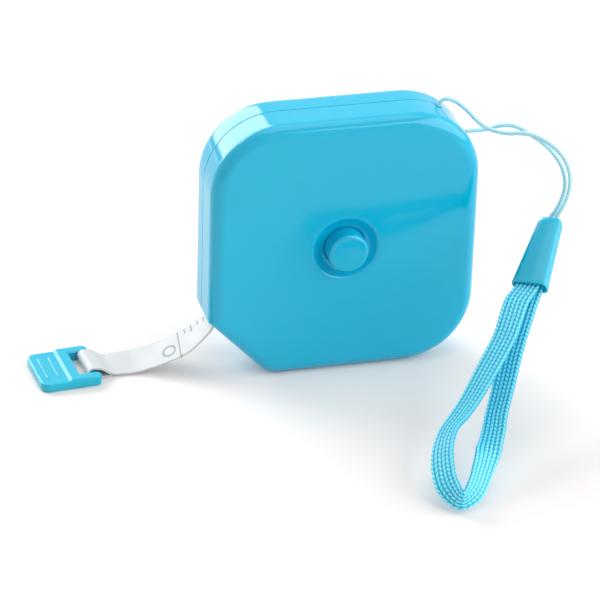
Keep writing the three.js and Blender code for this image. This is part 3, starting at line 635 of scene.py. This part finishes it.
# The loop's two edges
WEBBING_OUTER = [
    (25.5, -26.9, 23.5), (23.5, -29.8, 21.5), (21.7, -32.5, 19.4), (19.5, -35, 17.7), (17.2, -37.5, 15.9),
    (14.9, -40, 14), (12.6, -42.5, 12.2), (10, -45, 10.6), (7.2, -47.6, 8.9), (5.1, -50.9, 7.2),
    (4, -54.6, 5.2), (4.2, -58.3, 2.8), (7.7, -61.1, 0.6), (11.9, -60.3, 1.7), (14.3, -57.6, 3.3),
    (16.3, -54.7, 4.7), (18.2, -52, 7.2), (19.7, -48.9, 8.8), (21, -45.8, 10.3), (22.6, -43, 12),
    (24.2, -40.3, 13.9), (25.7, -37.6, 16), (27.3, -35.1, 18.2), (29, -32.6, 20.4), (30.8, -30, 22.5),
]
WEBBING_INNER = [
    (29.2, -29.9, 23.5), (27.3, -32.7, 21.7), (25.3, -35.6, 20), (22.9, -38.4, 18.2), (20.4, -41, 16.5),
    (17.9, -43.6, 15), (15.3, -46.2, 13.5), (12.6, -48.7, 12.2), (9.9, -50.9, 11.2), (8.3, -53.6, 9.5),
    (7.6, -56.5, 7.7), (7.5, -59.4, 6.1), (7.8, -62.2, 5.3), (9.4, -59.8, 5.8), (11, -56.7, 6.7),
    (12.5, -53.4, 7.3), (14.1, -49.6, 6.8), (15.8, -46.4, 7.5), (17.4, -43.1, 8.7), (19.1, -40.1, 10.5),
    (20.6, -37.3, 12.6), (22.1, -34.6, 14.9), (23.7, -32, 17.4), (25.4, -29.6, 19.7), (27.1, -27, 22),
]
STITCH_ROWS, STITCH_PITCH, STITCH_DEPTH = 6, 0.86, 0.2
STITCH_SLANT, STITCH_SHARPNESS = 0.8, 0.8
WEBBING_RINGS_PER_MM, WEBBING_POINTS_ACROSS = 9, 37
# Shares of the half width: where the edge rounds off, how wide the rounding is, and where it is scalloped
EDGE_FROM, EDGE_WIDTH, SCALLOP_FROM = 0.9, 0.1, 0.95
SCALLOP_DEPTH = 0.12


def tuck(side, depth, edge):
    """A point of the webbing's edge inside the ferrule, in the layer on one side."""
    layer = side * (WEB_THICKNESS + FIT) / 2
    return in_ferrule(side * (edge * WEB_WIDTH / 2 - WEB_ASIDE), layer, ferrule_length - depth)


def webbing():
    """A flat woven strap in one loop. Chevron stitches stand proud in rows along it, on both of its faces."""
    depths = (WEB_TUCK, WEB_TUCK / 2, 0.0)
    edges = []
    for edge, stations in ((-1, WEBBING_OUTER), (1, WEBBING_INNER)):
        route = [tuck(1, d, edge) for d in depths] + stations + [tuck(-1, d, edge) for d in reversed(depths)]
        edges.append(spline(route, 30))
    middle = (edges[0] + edges[1]) / 2
    count = int(length_of(middle) * WEBBING_RINGS_PER_MM)
    along = travelled(middle)
    at = np.linspace(0, along[-1], count)
    outer, inner = [at_lengths(edge, along, at) for edge in edges]
    middle = (outer + inner) / 2
    way = directions(middle)
    wide = unit(inner - outer)
    lift = unit(np.cross(way, wide))
    half, thick = WEB_WIDTH / 2, WEB_THICKNESS / 2
    face = np.linspace(-1, 1, WEBBING_POINTS_ACROSS)
    loop = [(x, 1) for x in face] + [(x, -1) for x in face[::-1]]
    rings, heights, uv_rings = [], [], []
    for i in range(count):
        ring, uv_ring = [], []
        for x, top in loop:
            row = (x + 1) / 2 * STITCH_ROWS
            number = min(math.floor(row), STITCH_ROWS - 1)
            local = row - number - 0.5
            slant = 1 if number % 2 else -1
            phase = at[i] / STITCH_PITCH + slant * local * STITCH_SLANT + (0.5 if top < 0 else 0)
            crest = (0.5 + 0.5 * math.cos(2 * math.pi * phase)) ** STITCH_SHARPNESS
            between = max(math.cos(math.pi * local), 0.0) ** STITCH_SHARPNESS
            height = between * (0.5 + 0.5 * crest)
            heights.append(height)
            rim = 1 - max(abs(x) - EDGE_FROM, 0) / EDGE_WIDTH
            rise = (thick - STITCH_DEPTH * (1 - height)) * math.sqrt(max(rim, 0.0))
            reach = half - SCALLOP_DEPTH * (1 - crest) * (abs(x) > SCALLOP_FROM)
            ring.append(middle[i] + wide[i] * x * reach + lift[i] * top * rise)
            uv_ring.append(((x + 1) * half, at[i]))
        rings.append(ring)
        uv_rings.append(uv_ring + [uv_ring[0]])
    made = loft("strap_webbing_piece", rings, uv_rings=uv_rings, creases=180)
    layer = made.data.attributes.new("stitch", "FLOAT", "POINT")
    layer.data.foreach_set("value", np.asarray(heights, np.float32))
    return made, middle


strap, strap_line = webbing()
dress(strap, strap_webbing, "strap_webbing", "case", "strap_webbing")


# The case

LEAST_RADIUS = 0.05
OUTLINE_STEP = 4.0
FRONT_EDGE_STEPS, REAR_EDGE_STEPS, FRONT_INNER_STEPS, REAR_INNER_STEPS = 10, 14, 5, 8
FACE_RING, BACK_RINGS = 12.0, (8.0, 16.0)


def case_outline(inset):
    """The case's outline drawn in by an inset: a rounded square with its lower left corner cut off."""
    # X and Z of each corner, its radius and the steps round it
    corners = [
        (-HALF_WIDTH, CHAMFER_RISE, MOUTH_CORNER, 4),
        (-HALF_WIDTH + CHAMFER_ACROSS, 0, FOOT_CORNER, 8),
        (HALF_WIDTH, 0, CORNER, 20),
        (HALF_WIDTH, HEIGHT, CORNER, 20),
        (-HALF_WIDTH, HEIGHT, CORNER, 20),
    ]
    ring = []
    for i, (x, z, radius, steps) in enumerate(corners):
        corner = np.array((x, z), float)
        before = np.array(corners[i - 1][:2], float)
        after = np.array(corners[(i + 1) % len(corners)][:2], float)
        arrive = (corner - before) / np.linalg.norm(corner - before)
        leave = (after - corner) / np.linalg.norm(after - corner)
        half = math.acos(float(np.clip(arrive @ leave, -1, 1))) / 2
        reach = max(radius, inset + LEAST_RADIUS)
        inward = (leave - arrive) / np.linalg.norm(leave - arrive)
        centre = corner + inward * reach / math.cos(half)
        start = math.atan2(arrive[1], arrive[0]) - math.pi / 2
        for step in range(steps + 1):
            angle = start + 2 * half * step / steps
            ring.append(centre + (reach - inset) * np.array((math.cos(angle), math.sin(angle))))
    return np.array(ring)


def split_sides(ring):
    """The outline with extra points on its straight sides, the same number for every inset."""
    base = case_outline(0)
    out = []
    for i in range(len(ring)):
        j = (i + 1) % len(ring)
        pieces = max(1, int(math.ceil(np.linalg.norm(base[j] - base[i]) / OUTLINE_STEP)))
        for step in range(pieces):
            out.append(ring[i] + (ring[j] - ring[i]) * step / pieces)
    return np.array(out)


def case_rings(*places):
    """Outlines of the case, each at an inset and a Y."""
    outlines = [(split_sides(case_outline(inset)), y) for inset, y in places]
    return [np.stack([ring[:, 0], np.full(len(ring), y), ring[:, 1]], 1) for ring, y in outlines]


front_outline = split_sides(case_outline(FRONT_EDGE))
outline_angles = np.arctan2(front_outline[:, 1] - CENTRE_HEIGHT, front_outline[:, 0])


def round_rings(*places):
    """Circles, each of a radius at a Y, with their points on the same rays as the case's outline."""
    return [round_axis(radius, y, outline_angles) for radius, y in places]


def edge_rings(inset, y_face, radius, steps):
    """Rings round a quarter turn, from the side wall to the face."""
    toward = math.copysign(1, y_face)
    return case_rings(*((inset + radius * (1 - cosine), y_face - toward * radius * (1 - sine))
                        for sine, cosine in quarter(steps)))


def front_shell():
    """The front half, from its rim over the face into the dish, and back along its inside."""
    face, floor = -HALF_DEPTH, -INNER_DEPTH
    rim, under = RIM_FRONT - RIM_ROUND, -TONGUE_REACH - FIT
    rings = case_rings((REBATE, rim), (REBATE, RIM_FRONT), (RIM_ROUND, RIM_FRONT),
                       (RIM_ROUND * 0.3, RIM_FRONT - RIM_ROUND * 0.3), (0, rim), (0, -1.0), (0, -3.0))
    rings += edge_rings(0, face, FRONT_EDGE, FRONT_EDGE_STEPS)
    rings += case_rings((FRONT_EDGE + 0.25, face), (FRONT_EDGE + 2.0, face))
    rings += round_rings((FACE_RING, face), (DISH + DISH_LIP + 0.3, face), (DISH + DISH_LIP, face))
    # the dish falls away in a curve that is level again at the button's hole
    for share in np.linspace(0, 1, 12):
        radius = DISH - (DISH - HOLE - HOLE_EDGE) * share
        drop = DISH_DEPTH * math.sin(share * math.pi / 2)
        rings += round_rings((radius, face + DISH_EDGE + drop * (1 - DISH_EDGE / DISH_DEPTH)))
    rings += round_rings(
        (HOLE + HOLE_EDGE_RISE, face + DISH_DEPTH + HOLE_EDGE_RISE),
        (HOLE, face + DISH_DEPTH + HOLE_EDGE_DROP),
        (HOLE, WEB_REAR), (COLLAR, WEB_REAR), (COLLAR, floor), (THRUST_INNER, floor),
        (THRUST_INNER, floor + THRUST_HEIGHT), (THRUST_OUTER, floor + THRUST_HEIGHT), (THRUST_OUTER, floor))
    rings += case_rings((FRONT_EDGE + 0.2, floor))
    rings += reversed(edge_rings(WALL, floor, FRONT_EDGE - WALL, FRONT_INNER_STEPS))
    rings += case_rings((WALL, under), (REBATE, under))
    return loft("front_shell_piece", rings, wrapped=True, creases=32)


def rear_shell():
    """The rear half, from the middle of its back over the rim to the arbor and the spring's guide."""
    face, floor = HALF_DEPTH, INNER_DEPTH
    thrust = floor - THRUST_HEIGHT
    rings = round_rings(*((radius, face) for radius in (LEAST_RADIUS, *BACK_RINGS)))
    rings += case_rings((REAR_EDGE + 2.0, face), (REAR_EDGE + 0.25, face))
    rings += reversed(edge_rings(0, face, REAR_EDGE, REAR_EDGE_STEPS))
    rings += case_rings((0, 2.5), (0, RIM_REAR + RIM_ROUND), (RIM_ROUND * 0.3, RIM_REAR + RIM_ROUND * 0.3),
                        (RIM_ROUND, RIM_REAR), (WALL - TONGUE, RIM_REAR), (WALL - TONGUE, -TONGUE_REACH),
                        (WALL, -TONGUE_REACH))
    rings += edge_rings(WALL, floor, REAR_EDGE - WALL, REAR_INNER_STEPS)
    rings += round_rings(
        (THRUST_OUTER, floor), (THRUST_OUTER, thrust), (THRUST_INNER, thrust), (THRUST_INNER, floor),
        (ARBOR_FOOT, floor), (ARBOR_FOOT, thrust), (ARBOR, thrust), (ARBOR, ARBOR_FRONT),
        (GUIDE, ARBOR_FRONT), (GUIDE, GUIDE_FRONT), (LEAST_RADIUS, GUIDE_FRONT))
    return loft("rear_shell_piece", rings, creases=32)


def mouth_cutter():
    """A box through the chamfer where the tape leaves, a little wider than the tape."""
    half = np.array((MOUTH_HEIGHT / 2, MOUTH_WIDTH / 2, 2 * WALL))
    way = np.array((-math.cos(MOUTH_ANGLE), 0, -math.sin(MOUTH_ANGLE)))
    thick = np.array((way[2], 0, -way[0]))
    centre = np.array((MOUTH_X, 0, MOUTH_Z))
    rings = []
    for along in (-half[2], half[2]):
        ring = []
        # each corner of the slot is rounded, from a first angle on through a quarter turn
        for x, y, first in ((-1, -1, 180), (1, -1, 270), (1, 1, 0), (-1, 1, 90)):
            for turn in range(5):
                angle = math.radians(first + turn * 22.5)
                a = x * (half[0] - MOUTH_ROUND) + MOUTH_ROUND * math.cos(angle)
                b = y * (half[1] - MOUTH_ROUND) + MOUTH_ROUND * math.sin(angle)
                ring.append(centre + thick * a + np.array((0, 1, 0)) * b + way * along)
        rings.append(ring)
    return loft("cutter", rings)


def cord_hole_cutters():
    """Rods through the upper right corner, one for each end of the cord."""
    cutters = []
    corner = np.array((HALF_WIDTH - CORNER, 0, HEIGHT - CORNER))
    for degrees in (BOSS_ANGLE - CORD_HOLE_ANGLE, BOSS_ANGLE + CORD_HOLE_ANGLE):
        way = np.array((math.cos(math.radians(degrees)), 0, math.sin(math.radians(degrees))))
        line = corner + way * np.array((CORNER - WALL - 1, CORNER, CORNER + 1))[:, None]
        cutters.append(tube("cutter", line, CORD / 2 + FIT, 24))
    return cutters


front = cut(front_shell(), [mouth_cutter(), *cord_hole_cutters()])
rear = cut(rear_shell(), [mouth_cutter(), *cord_hole_cutters()])
for made, node in ((front, "front_shell"), (rear, "rear_shell")):
    creased(made, 32)
    dress(made, case_plastic, "case_plastic", "case", node)


def button():
    """The button, hollow behind for its spring, and the brake disc round its foot."""
    face = -HALF_DEPTH - BUTTON_PROUD
    foot = BUTTON + BUTTON_DRAFT
    profile = [(radius, face - BUTTON_CROWN * share) for radius, share in ((0, 1), (1.5, 0.85), (2.6, 0.5))]
    profile.append((BUTTON - BUTTON_EDGE, face))
    for sine, cosine in quarter(8)[1:]:
        profile.append((BUTTON - BUTTON_EDGE * (1 - sine), face + BUTTON_EDGE * (1 - cosine)))
    profile += [(foot, BRAKE_FRONT - BUTTON_FLARE_LENGTH), (foot + BUTTON_FLARE, BRAKE_FRONT)]
    profile += [(BRAKE - BRAKE_EDGE, BRAKE_FRONT), (BRAKE, BRAKE_FRONT + BRAKE_EDGE)]
    profile += [(BRAKE, BRAKE_REAR - BRAKE_EDGE), (BRAKE - BRAKE_EDGE, BRAKE_REAR), (BUTTON_BORE, BRAKE_REAR)]
    profile += [(BUTTON_BORE, face + BUTTON_WALL), (0, face + BUTTON_WALL)]
    angles = np.arange(BUTTON_SIDES) / BUTTON_SIDES * 2 * math.pi
    rings = [round_axis(max(radius, 0.01), y, angles) for radius, y in profile]
    return loft("button_piece", rings, creases=35)


dress(button(), case_plastic, "case_plastic", "button", "button")


# The tape: from the roll, out of the mouth, down to the floor, and round the tab's bar

ROLL = math.sqrt(ROLL_CORE ** 2 + TAPE_WOUND * TAPE_THICKNESS / math.pi)
LEAD_RADIUS = ROLL + FIT + TAPE_THICKNESS / 2
THROAT = (MOUTH_X + 2 * WALL * math.cos(MOUTH_ANGLE), MOUTH_Z + 2 * WALL * math.sin(MOUTH_ANGLE))
# Height of the tape's middle over the floor, its drift to the rear and half the rise of its far edge over
# its near edge, at distances from the mouth
FREE_TAPE = [
    (0.0, 9.93, 0.0, -0.60), (0.53, 9.05, 0.03, -0.52), (1.4, 8.10, 0.13, -0.42),
    (2.1, 7.35, 0.22, -0.30), (3.3, 6.21, 0.42, -0.15), (4.7, 5.05, 0.65, 0.05), (6.0, 4.20, 0.90, 0.15),
    (8.6, 2.90, 1.35, 0.15), (10.8, 1.96, 1.72, 0.15), (12.4, 1.40, 1.97, 0.18), (14.5, 0.84, 2.20, 0.26),
    (16.1, 0.66, 2.32, 0.26), (17.8, 0.60, 2.36, 0.20), (19.3, 0.61, 2.33, 0.08),
]
HEM_CENTRE, HEM_GAP, HEM_LOW, HEM_TIP_X = 1.3, 0.34, 0.26, -43.9
HEM_RADIUS = BAR + HEM_GAP + TAPE_THICKNESS / 2
# The hem's strip turns with the tab from here on, over a short length
HEM_TURN_X, HEM_TURN_LENGTH = -43.2, 0.8
TAPE_POINTS = 420
ZERO_FROM_MOUTH, OUTSIDE_BELOW = 6.03, 12
ROLL_STEPS_PER_TURN, ROLL_TIGHTNESS = 72, 0.47


def turned_aside(points):
    """Turns points about the bar, which has drifted to the rear with the tape's end."""
    p = np.asarray(points, float)
    x, y = p[:, 0] - BAR_X, p[:, 1]
    c, s = math.cos(TAB_TURN), math.sin(TAB_TURN)
    return np.stack([BAR_X + x * c - y * s, BAR_Y + x * s + y * c, p[:, 2]], 1)


def tape_line():
    """The tape's middle line, and how far its far edge stands over the middle at each point."""
    from_centre = np.array((THROAT[0], THROAT[1] - CENTRE_HEIGHT))
    lead = math.acos(LEAD_RADIUS / np.linalg.norm(from_centre)) - math.atan2(-from_centre[1], -from_centre[0])
    start = math.pi - lead
    off = (LEAD_RADIUS * math.cos(start), CENTRE_HEIGHT + LEAD_RADIUS * math.sin(start))
    inside = [(off[0] + (THROAT[0] - off[0]) * share, 0.0, off[1] + (THROAT[1] - off[1]) * share, 0.0)
              for share in (0, 0.33, 0.67, 1)]
    free = [(MOUTH_X - u, y, z, rise) for u, z, y, rise in FREE_TAPE]
    hem = [(-43.55, 0, 0.64), (-44.3, 0, 0.86), (-45.1, 0, 1.42), (-45.9, 0, 1.98)]
    for degrees in range(75, 271, 15):
        angle = math.radians(degrees)
        hem.append((BAR_X + HEM_RADIUS * math.cos(angle), 0, HEM_CENTRE + HEM_RADIUS * math.sin(angle)))
    hem += [(BAR_X + 1.2, 0, HEM_LOW), (BAR_X + 2.4, 0, HEM_LOW - 0.02), (HEM_TIP_X, 0, HEM_LOW - 0.02)]
    turned = turned_aside(hem)
    points = inside + free + [(*p, 0.0) for p in turned]
    return spline(points, 14), start


def tape_strip():
    """The tape from the roll to its hem, the angle where it leaves the roll and its length up to the zero."""
    line, start = tape_line()
    line = resample(line, TAPE_POINTS)
    middle, rise = line[:, :3], line[:, 3]
    way = directions(middle)
    across = np.array((0.0, 1.0, 0.0)) - way * way[:, 1:2]
    hem = np.clip((HEM_TURN_X - middle[:, 0]) / HEM_TURN_LENGTH, 0, 1)[:, None]
    across = across * (1 - hem) + hem * np.array((-math.sin(TAB_TURN), math.cos(TAB_TURN), 0.0))
    across = unit(across - way * (across * way).sum(1)[:, None])
    lift = unit(np.cross(way, across))
    upward = np.sign(lift[len(lift) // 2, 2])
    tilt = np.clip(rise / (TAPE_WIDTH / 2), -1, 1)[:, None] * upward
    turned = unit(across + lift * tilt)
    lift = np.cross(way, turned)
    along = travelled(middle)
    from_zero = np.abs(middle[:, 0] - (MOUTH_X - ZERO_FROM_MOUTH))
    zero = along[int(np.argmin(np.where(middle[:, 2] > OUTSIDE_BELOW, np.inf, from_zero)))]
    half, thick = TAPE_WIDTH / 2, TAPE_THICKNESS / 2
    face = np.linspace(-1, 1, 9)
    loop = [(x, 1) for x in face] + [(x, -1) for x in face[::-1]]
    rings, uv_rings = [], []
    for i in range(len(middle)):
        rings.append([middle[i] + turned[i] * x * half + lift[i] * side * thick for x, side in loop])
        uv_ring = [(half - x * half, zero - along[i]) for x, side in loop]
        uv_rings.append(uv_ring + [uv_ring[0]])
    made = loft("tape_piece", rings, uv_rings=uv_rings, creases=50)
    return made, start, zero


strip, roll_start, zero_along = tape_strip()
dress(strip, tape_cloth, "tape_cloth", None, "tape_lead", "tape_flat", "tape_hem")
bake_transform(strip)


def tape_roll():
    """The wound tape, turn on turn, from the hub out to where it runs off."""
    steps = ROLL_STEPS_PER_TURN
    count = int(ROLL_TURNS * steps)
    rings, uv_rings = [], []
    half, thick = TAPE_WIDTH / 2, TAPE_THICKNESS * ROLL_TIGHTNESS
    along = zero_along
    for i in range(count + 1):
        turn = i / steps
        angle = roll_start - turn * 2 * math.pi
        radius = ROLL - TAPE_THICKNESS * (turn + 0.5)
        out = np.array((math.cos(angle), 0, math.sin(angle)))
        at = np.array((0, 0, CENTRE_HEIGHT)) + out * radius
        rings.append([at + out * side * thick + np.array((0, y * half, 0))
                      for y, side in ((-1, 1), (1, 1), (1, -1), (-1, -1))])
        uv_ring = [(half - y * half, along) for y in (-1, 1, 1, -1)]
        uv_rings.append(uv_ring + [uv_ring[0]])
        along += 2 * math.pi / steps * radius
    return loft("tape_roll_piece", rings, uv_rings=uv_rings, creases=50)


dress(tape_roll(), tape_cloth, "tape_cloth", "reel", "tape_roll")


# The end tab, drawn about the middle of its bar and then turned with the tape's end

TAB_LENGTH, TAB_WIDTH, TAB_ARM = 11.85, 12.4, 1.1
TAB_PLATE, TAB_PLATE_THICK, TAB_FRAME_THICK = 5.6, 1.7, 2.1
TAB_CORNER, TAB_EDGE, TAB_SLOPE = 1.7, 0.4, 0.6
WINDOW_BACK, WINDOW_SIDE = 2.9, 0.42
RIBS = (1.75, 3.85)
RIB_LENGTH, RIB_WIDTH, RIB_HEIGHT = 7.9, 0.4, 0.16
TAB_EDGE_SEGMENTS, TAB_EDGE_ANGLE = 5, 55
TAB_LEFT = TAB_ARM - TAB_LENGTH


def arc_points(centre, radius, first, last, steps=8):
    """Points round part of a circle, between two angles in degrees."""
    return [(centre[0] + radius * math.cos(a), centre[1] + radius * math.sin(a))
            for a in np.radians(np.linspace(first, last, steps + 1))]


def tab_outline():
    """The tab seen from above: a rounded plate with two arms, open between them for the tape."""
    half, inner = TAB_WIDTH / 2, TAPE_WIDTH / 2 + WINDOW_SIDE
    arm = (half - inner) / 2
    left, tip = TAB_LEFT + TAB_CORNER, TAB_ARM - arm
    outline = [(-WINDOW_BACK, -inner)]
    outline += arc_points((tip, -inner - arm), arm, 90, -90)
    outline += arc_points((left, -half + TAB_CORNER), TAB_CORNER, 270, 180)
    outline += arc_points((left, half - TAB_CORNER), TAB_CORNER, 180, 90)
    outline += arc_points((tip, inner + arm), arm, 90, -90)
    return outline + [(-WINDOW_BACK, inner)]


def prism(name, outline, low, high, lean=0.0):
    """A prism over an outline, its top moved by lean to the right."""
    rings = [[(x + move, y, z) for x, y in outline] for z, move in ((low, 0.0), (high, lean))]
    return loft(name, rings, creases=30)


def tab_body():
    """The tab's frame with its lower finger plate, all edges rounded."""
    made = prism("tab", tab_outline(), 0.0, TAB_FRAME_THICK)
    far = TAB_WIDTH
    foot = TAB_LEFT + TAB_PLATE - TAB_SLOPE / 2
    step = [(TAB_LEFT - far, -far), (foot, -far), (foot, far), (TAB_LEFT - far, far)]
    rise = TAB_FRAME_THICK - TAB_PLATE_THICK
    cut(made, [prism("cutter", step, TAB_PLATE_THICK, TAB_FRAME_THICK + rise, 2 * TAB_SLOPE)])
    edges = made.modifiers.new("edges", "BEVEL")
    edges.width = TAB_EDGE * MM
    edges.segments = TAB_EDGE_SEGMENTS
    edges.limit_method = "ANGLE"
    edges.angle_limit = math.radians(TAB_EDGE_ANGLE)
    edges.use_clamp_overlap = False
    return applied(made)


def bar_piece():
    """The bar across the window, which the tape's hem goes round."""
    reach = TAPE_WIDTH / 2 + WINDOW_SIDE + TAB_EDGE
    angles = (np.arange(32) + 0.5) / 32 * 2 * math.pi
    rings = [np.stack([BAR * np.cos(angles), np.full(32, y), BAR_Z + BAR * np.sin(angles)], 1)
             for y in np.linspace(-reach, reach, 5)]
    return loft("bar", rings)


def rib_piece(x):
    """A low rounded rib across the finger plate."""
    rings = []
    for y in np.concatenate([[-1.0, -0.985, -0.95], np.linspace(-0.9, 0.9, 7), [0.95, 0.985, 1.0]]):
        narrow = math.sqrt(max(1 - max(abs(y) - 0.9, 0) ** 2 / 0.01, 0.02))
        ring = []
        for angle in (np.arange(16) + 0.5) / 16 * 2 * math.pi:
            ring.append((x + RIB_WIDTH / 2 * narrow * math.cos(angle), y * RIB_LENGTH / 2,
                         TAB_PLATE_THICK + RIB_HEIGHT * narrow * math.sin(angle)))
        rings.append(ring)
    return loft("rib", rings)


def end_tab():
    """The whole tab, set on the tape's end."""
    made = joined(tab_body(), [bar_piece(), *(rib_piece(TAB_LEFT + inset) for inset in RIBS)])
    made.name = "end_tab_piece"
    creased(made, 30)
    place = Matrix.Translation((BAR_X * MM, BAR_Y * MM, 0)) @ Matrix.Rotation(TAB_TURN, 4, "Z")
    made.data.transform(place)
    return made


tab = end_tab()
dress(tab, tab_plastic, "case_plastic", "tab", "end_tab")


# What the closed case hides

def cord_inside():
    """The cord in through one hole, round the corner's post and out through the other."""
    corner = np.array((HALF_WIDTH - CORNER, HEIGHT - CORNER))

    def at(centre, degrees, distance):
        angle = math.radians(degrees)
        return centre + distance * np.array((math.cos(angle), math.sin(angle)))

    boss = at(corner, BOSS_ANGLE, CORNER - BOSS_INSET)
    around = BOSS + FIT + CORD / 2
    first, last = BOSS_ANGLE + CORD_HOLE_ANGLE, BOSS_ANGLE - CORD_HOLE_ANGLE
    turn = [at(boss, BOSS_ANGLE + 180 - degrees, around) for degrees in (110, 70, 35, 0, -35, -70, -110)]
    points = [at(corner, first, CORNER - FIT), at(corner, first, CORNER - WALL), *turn,
              at(corner, last, CORNER - WALL), at(corner, last, CORNER - FIT)]
    return tube("cord_inside_piece", resample(spline([(x, 0, z) for x, z in points]), 90), CORD / 2)


dress(cord_inside(), strap_cord, "strap_cord", "case", "cord_inside")
for node, material in (("reel", inner_plastic), ("spring_cover", inner_plastic),
                       ("slip_washer", inner_plastic), ("mainspring", spring_steel)):
    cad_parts[node].data.materials.clear()
    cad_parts[node].data.materials.append(material)

SPRING_RADIUS, SPRING_WIRE, SPRING_TURNS = 1.65, 0.45, 7
SPRING_FRONT, SPRING_REAR, SPRING_STEPS_PER_TURN = -8.075, -1.425, 28


def button_spring():
    """The coil behind the button, from the arbor's end up to the button's bore."""
    shares = np.linspace(0, 1, SPRING_TURNS * SPRING_STEPS_PER_TURN + 1)
    depths = SPRING_REAR + (SPRING_FRONT - SPRING_REAR) * shares
    line = round_axis(SPRING_RADIUS, depths, shares * SPRING_TURNS * 2 * math.pi)
    return tube("button_spring_piece", line, SPRING_WIRE / 2, 10)


coil = dress(button_spring(), spring_steel, "spring_steel", None, "button_spring")
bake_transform(coil)


# Floor, light and hand-over

FLOOR_SIZE, FLOOR_DROP, FLOOR_COLOUR = 12000.0, 0.03, (0.90, 0.845, 0.82, 1)
FLOOR_GLOW = 0.06
WORLD_LEVEL = 0.36
WHITE = (1, 1, 1, 1)


def floor():
    """A pale floor that keeps the shadow, a little brighter where it is seen than where it lights."""
    half = FLOOR_SIZE / 2
    corners = [(x * half, y * half, -FLOOR_DROP) for x, y in ((-1, -1), (1, -1), (1, 1), (-1, 1))]
    made = make_mesh("floor", corners, [(0, 1, 2, 3)])
    finish = Finish("floor")
    finish.tree.nodes.remove(finish.shader)
    paper = finish.node("ShaderNodeBsdfDiffuse", {"Color": FLOOR_COLOUR}).outputs[0]
    glow = finish.node("ShaderNodeEmission", {"Color": WHITE, "Strength": FLOOR_GLOW}).outputs[0]
    added = finish.node("ShaderNodeAddShader", {0: paper, 1: glow}).outputs[0]
    choice = finish.node("ShaderNodeMixShader", {0: finish.seen(), 1: paper, 2: added})
    finish.put(finish.tree.nodes["Material Output"].inputs["Surface"], choice.outputs[0])
    made.data.materials.append(finish.material)


def studio():
    """A soft white surround, shown at full strength where it is seen and dimmer where it lights."""
    world = bpy.data.worlds.new("studio")
    bpy.context.scene.world = world
    nodes = Nodes(world)
    back = nodes.tree.nodes["Background"]
    back.inputs["Color"].default_value = WHITE
    nodes.put(back.inputs["Strength"], nodes.ramp(nodes.seen(), 0.0, 1.0, WORLD_LEVEL, 1.0))


def lamp(name, place, target, size, power):
    """A soft rectangular lamp at a place, aimed at a target. Its power is in watts."""
    data = bpy.data.lights.new(name, "AREA")
    data.shape = "RECTANGLE"
    data.size, data.size_y = size[0] * MM, size[1] * MM
    data.energy = power
    made = bpy.data.objects.new(name, data)
    bpy.context.scene.collection.objects.link(made)
    aim = (Vector(target) - Vector(place)).normalized()
    turn = aim.to_track_quat("-Z", "Y").to_matrix().to_4x4()
    made.matrix_world = Matrix.Translation(Vector(place) * MM) @ turn


floor()
studio()
lamp("key", (-441, 865, 521), (0, 0, 26), (1000, 950), 14.2)
lamp("top", (60, 40, 760), (0, 0, 0), (560, 560), 1.2)
lamp("soft", (701, -373, 484), (0, 0, 26), (1300, 800), 8.5)
bpy.context.scene.view_settings.view_transform = "Standard"
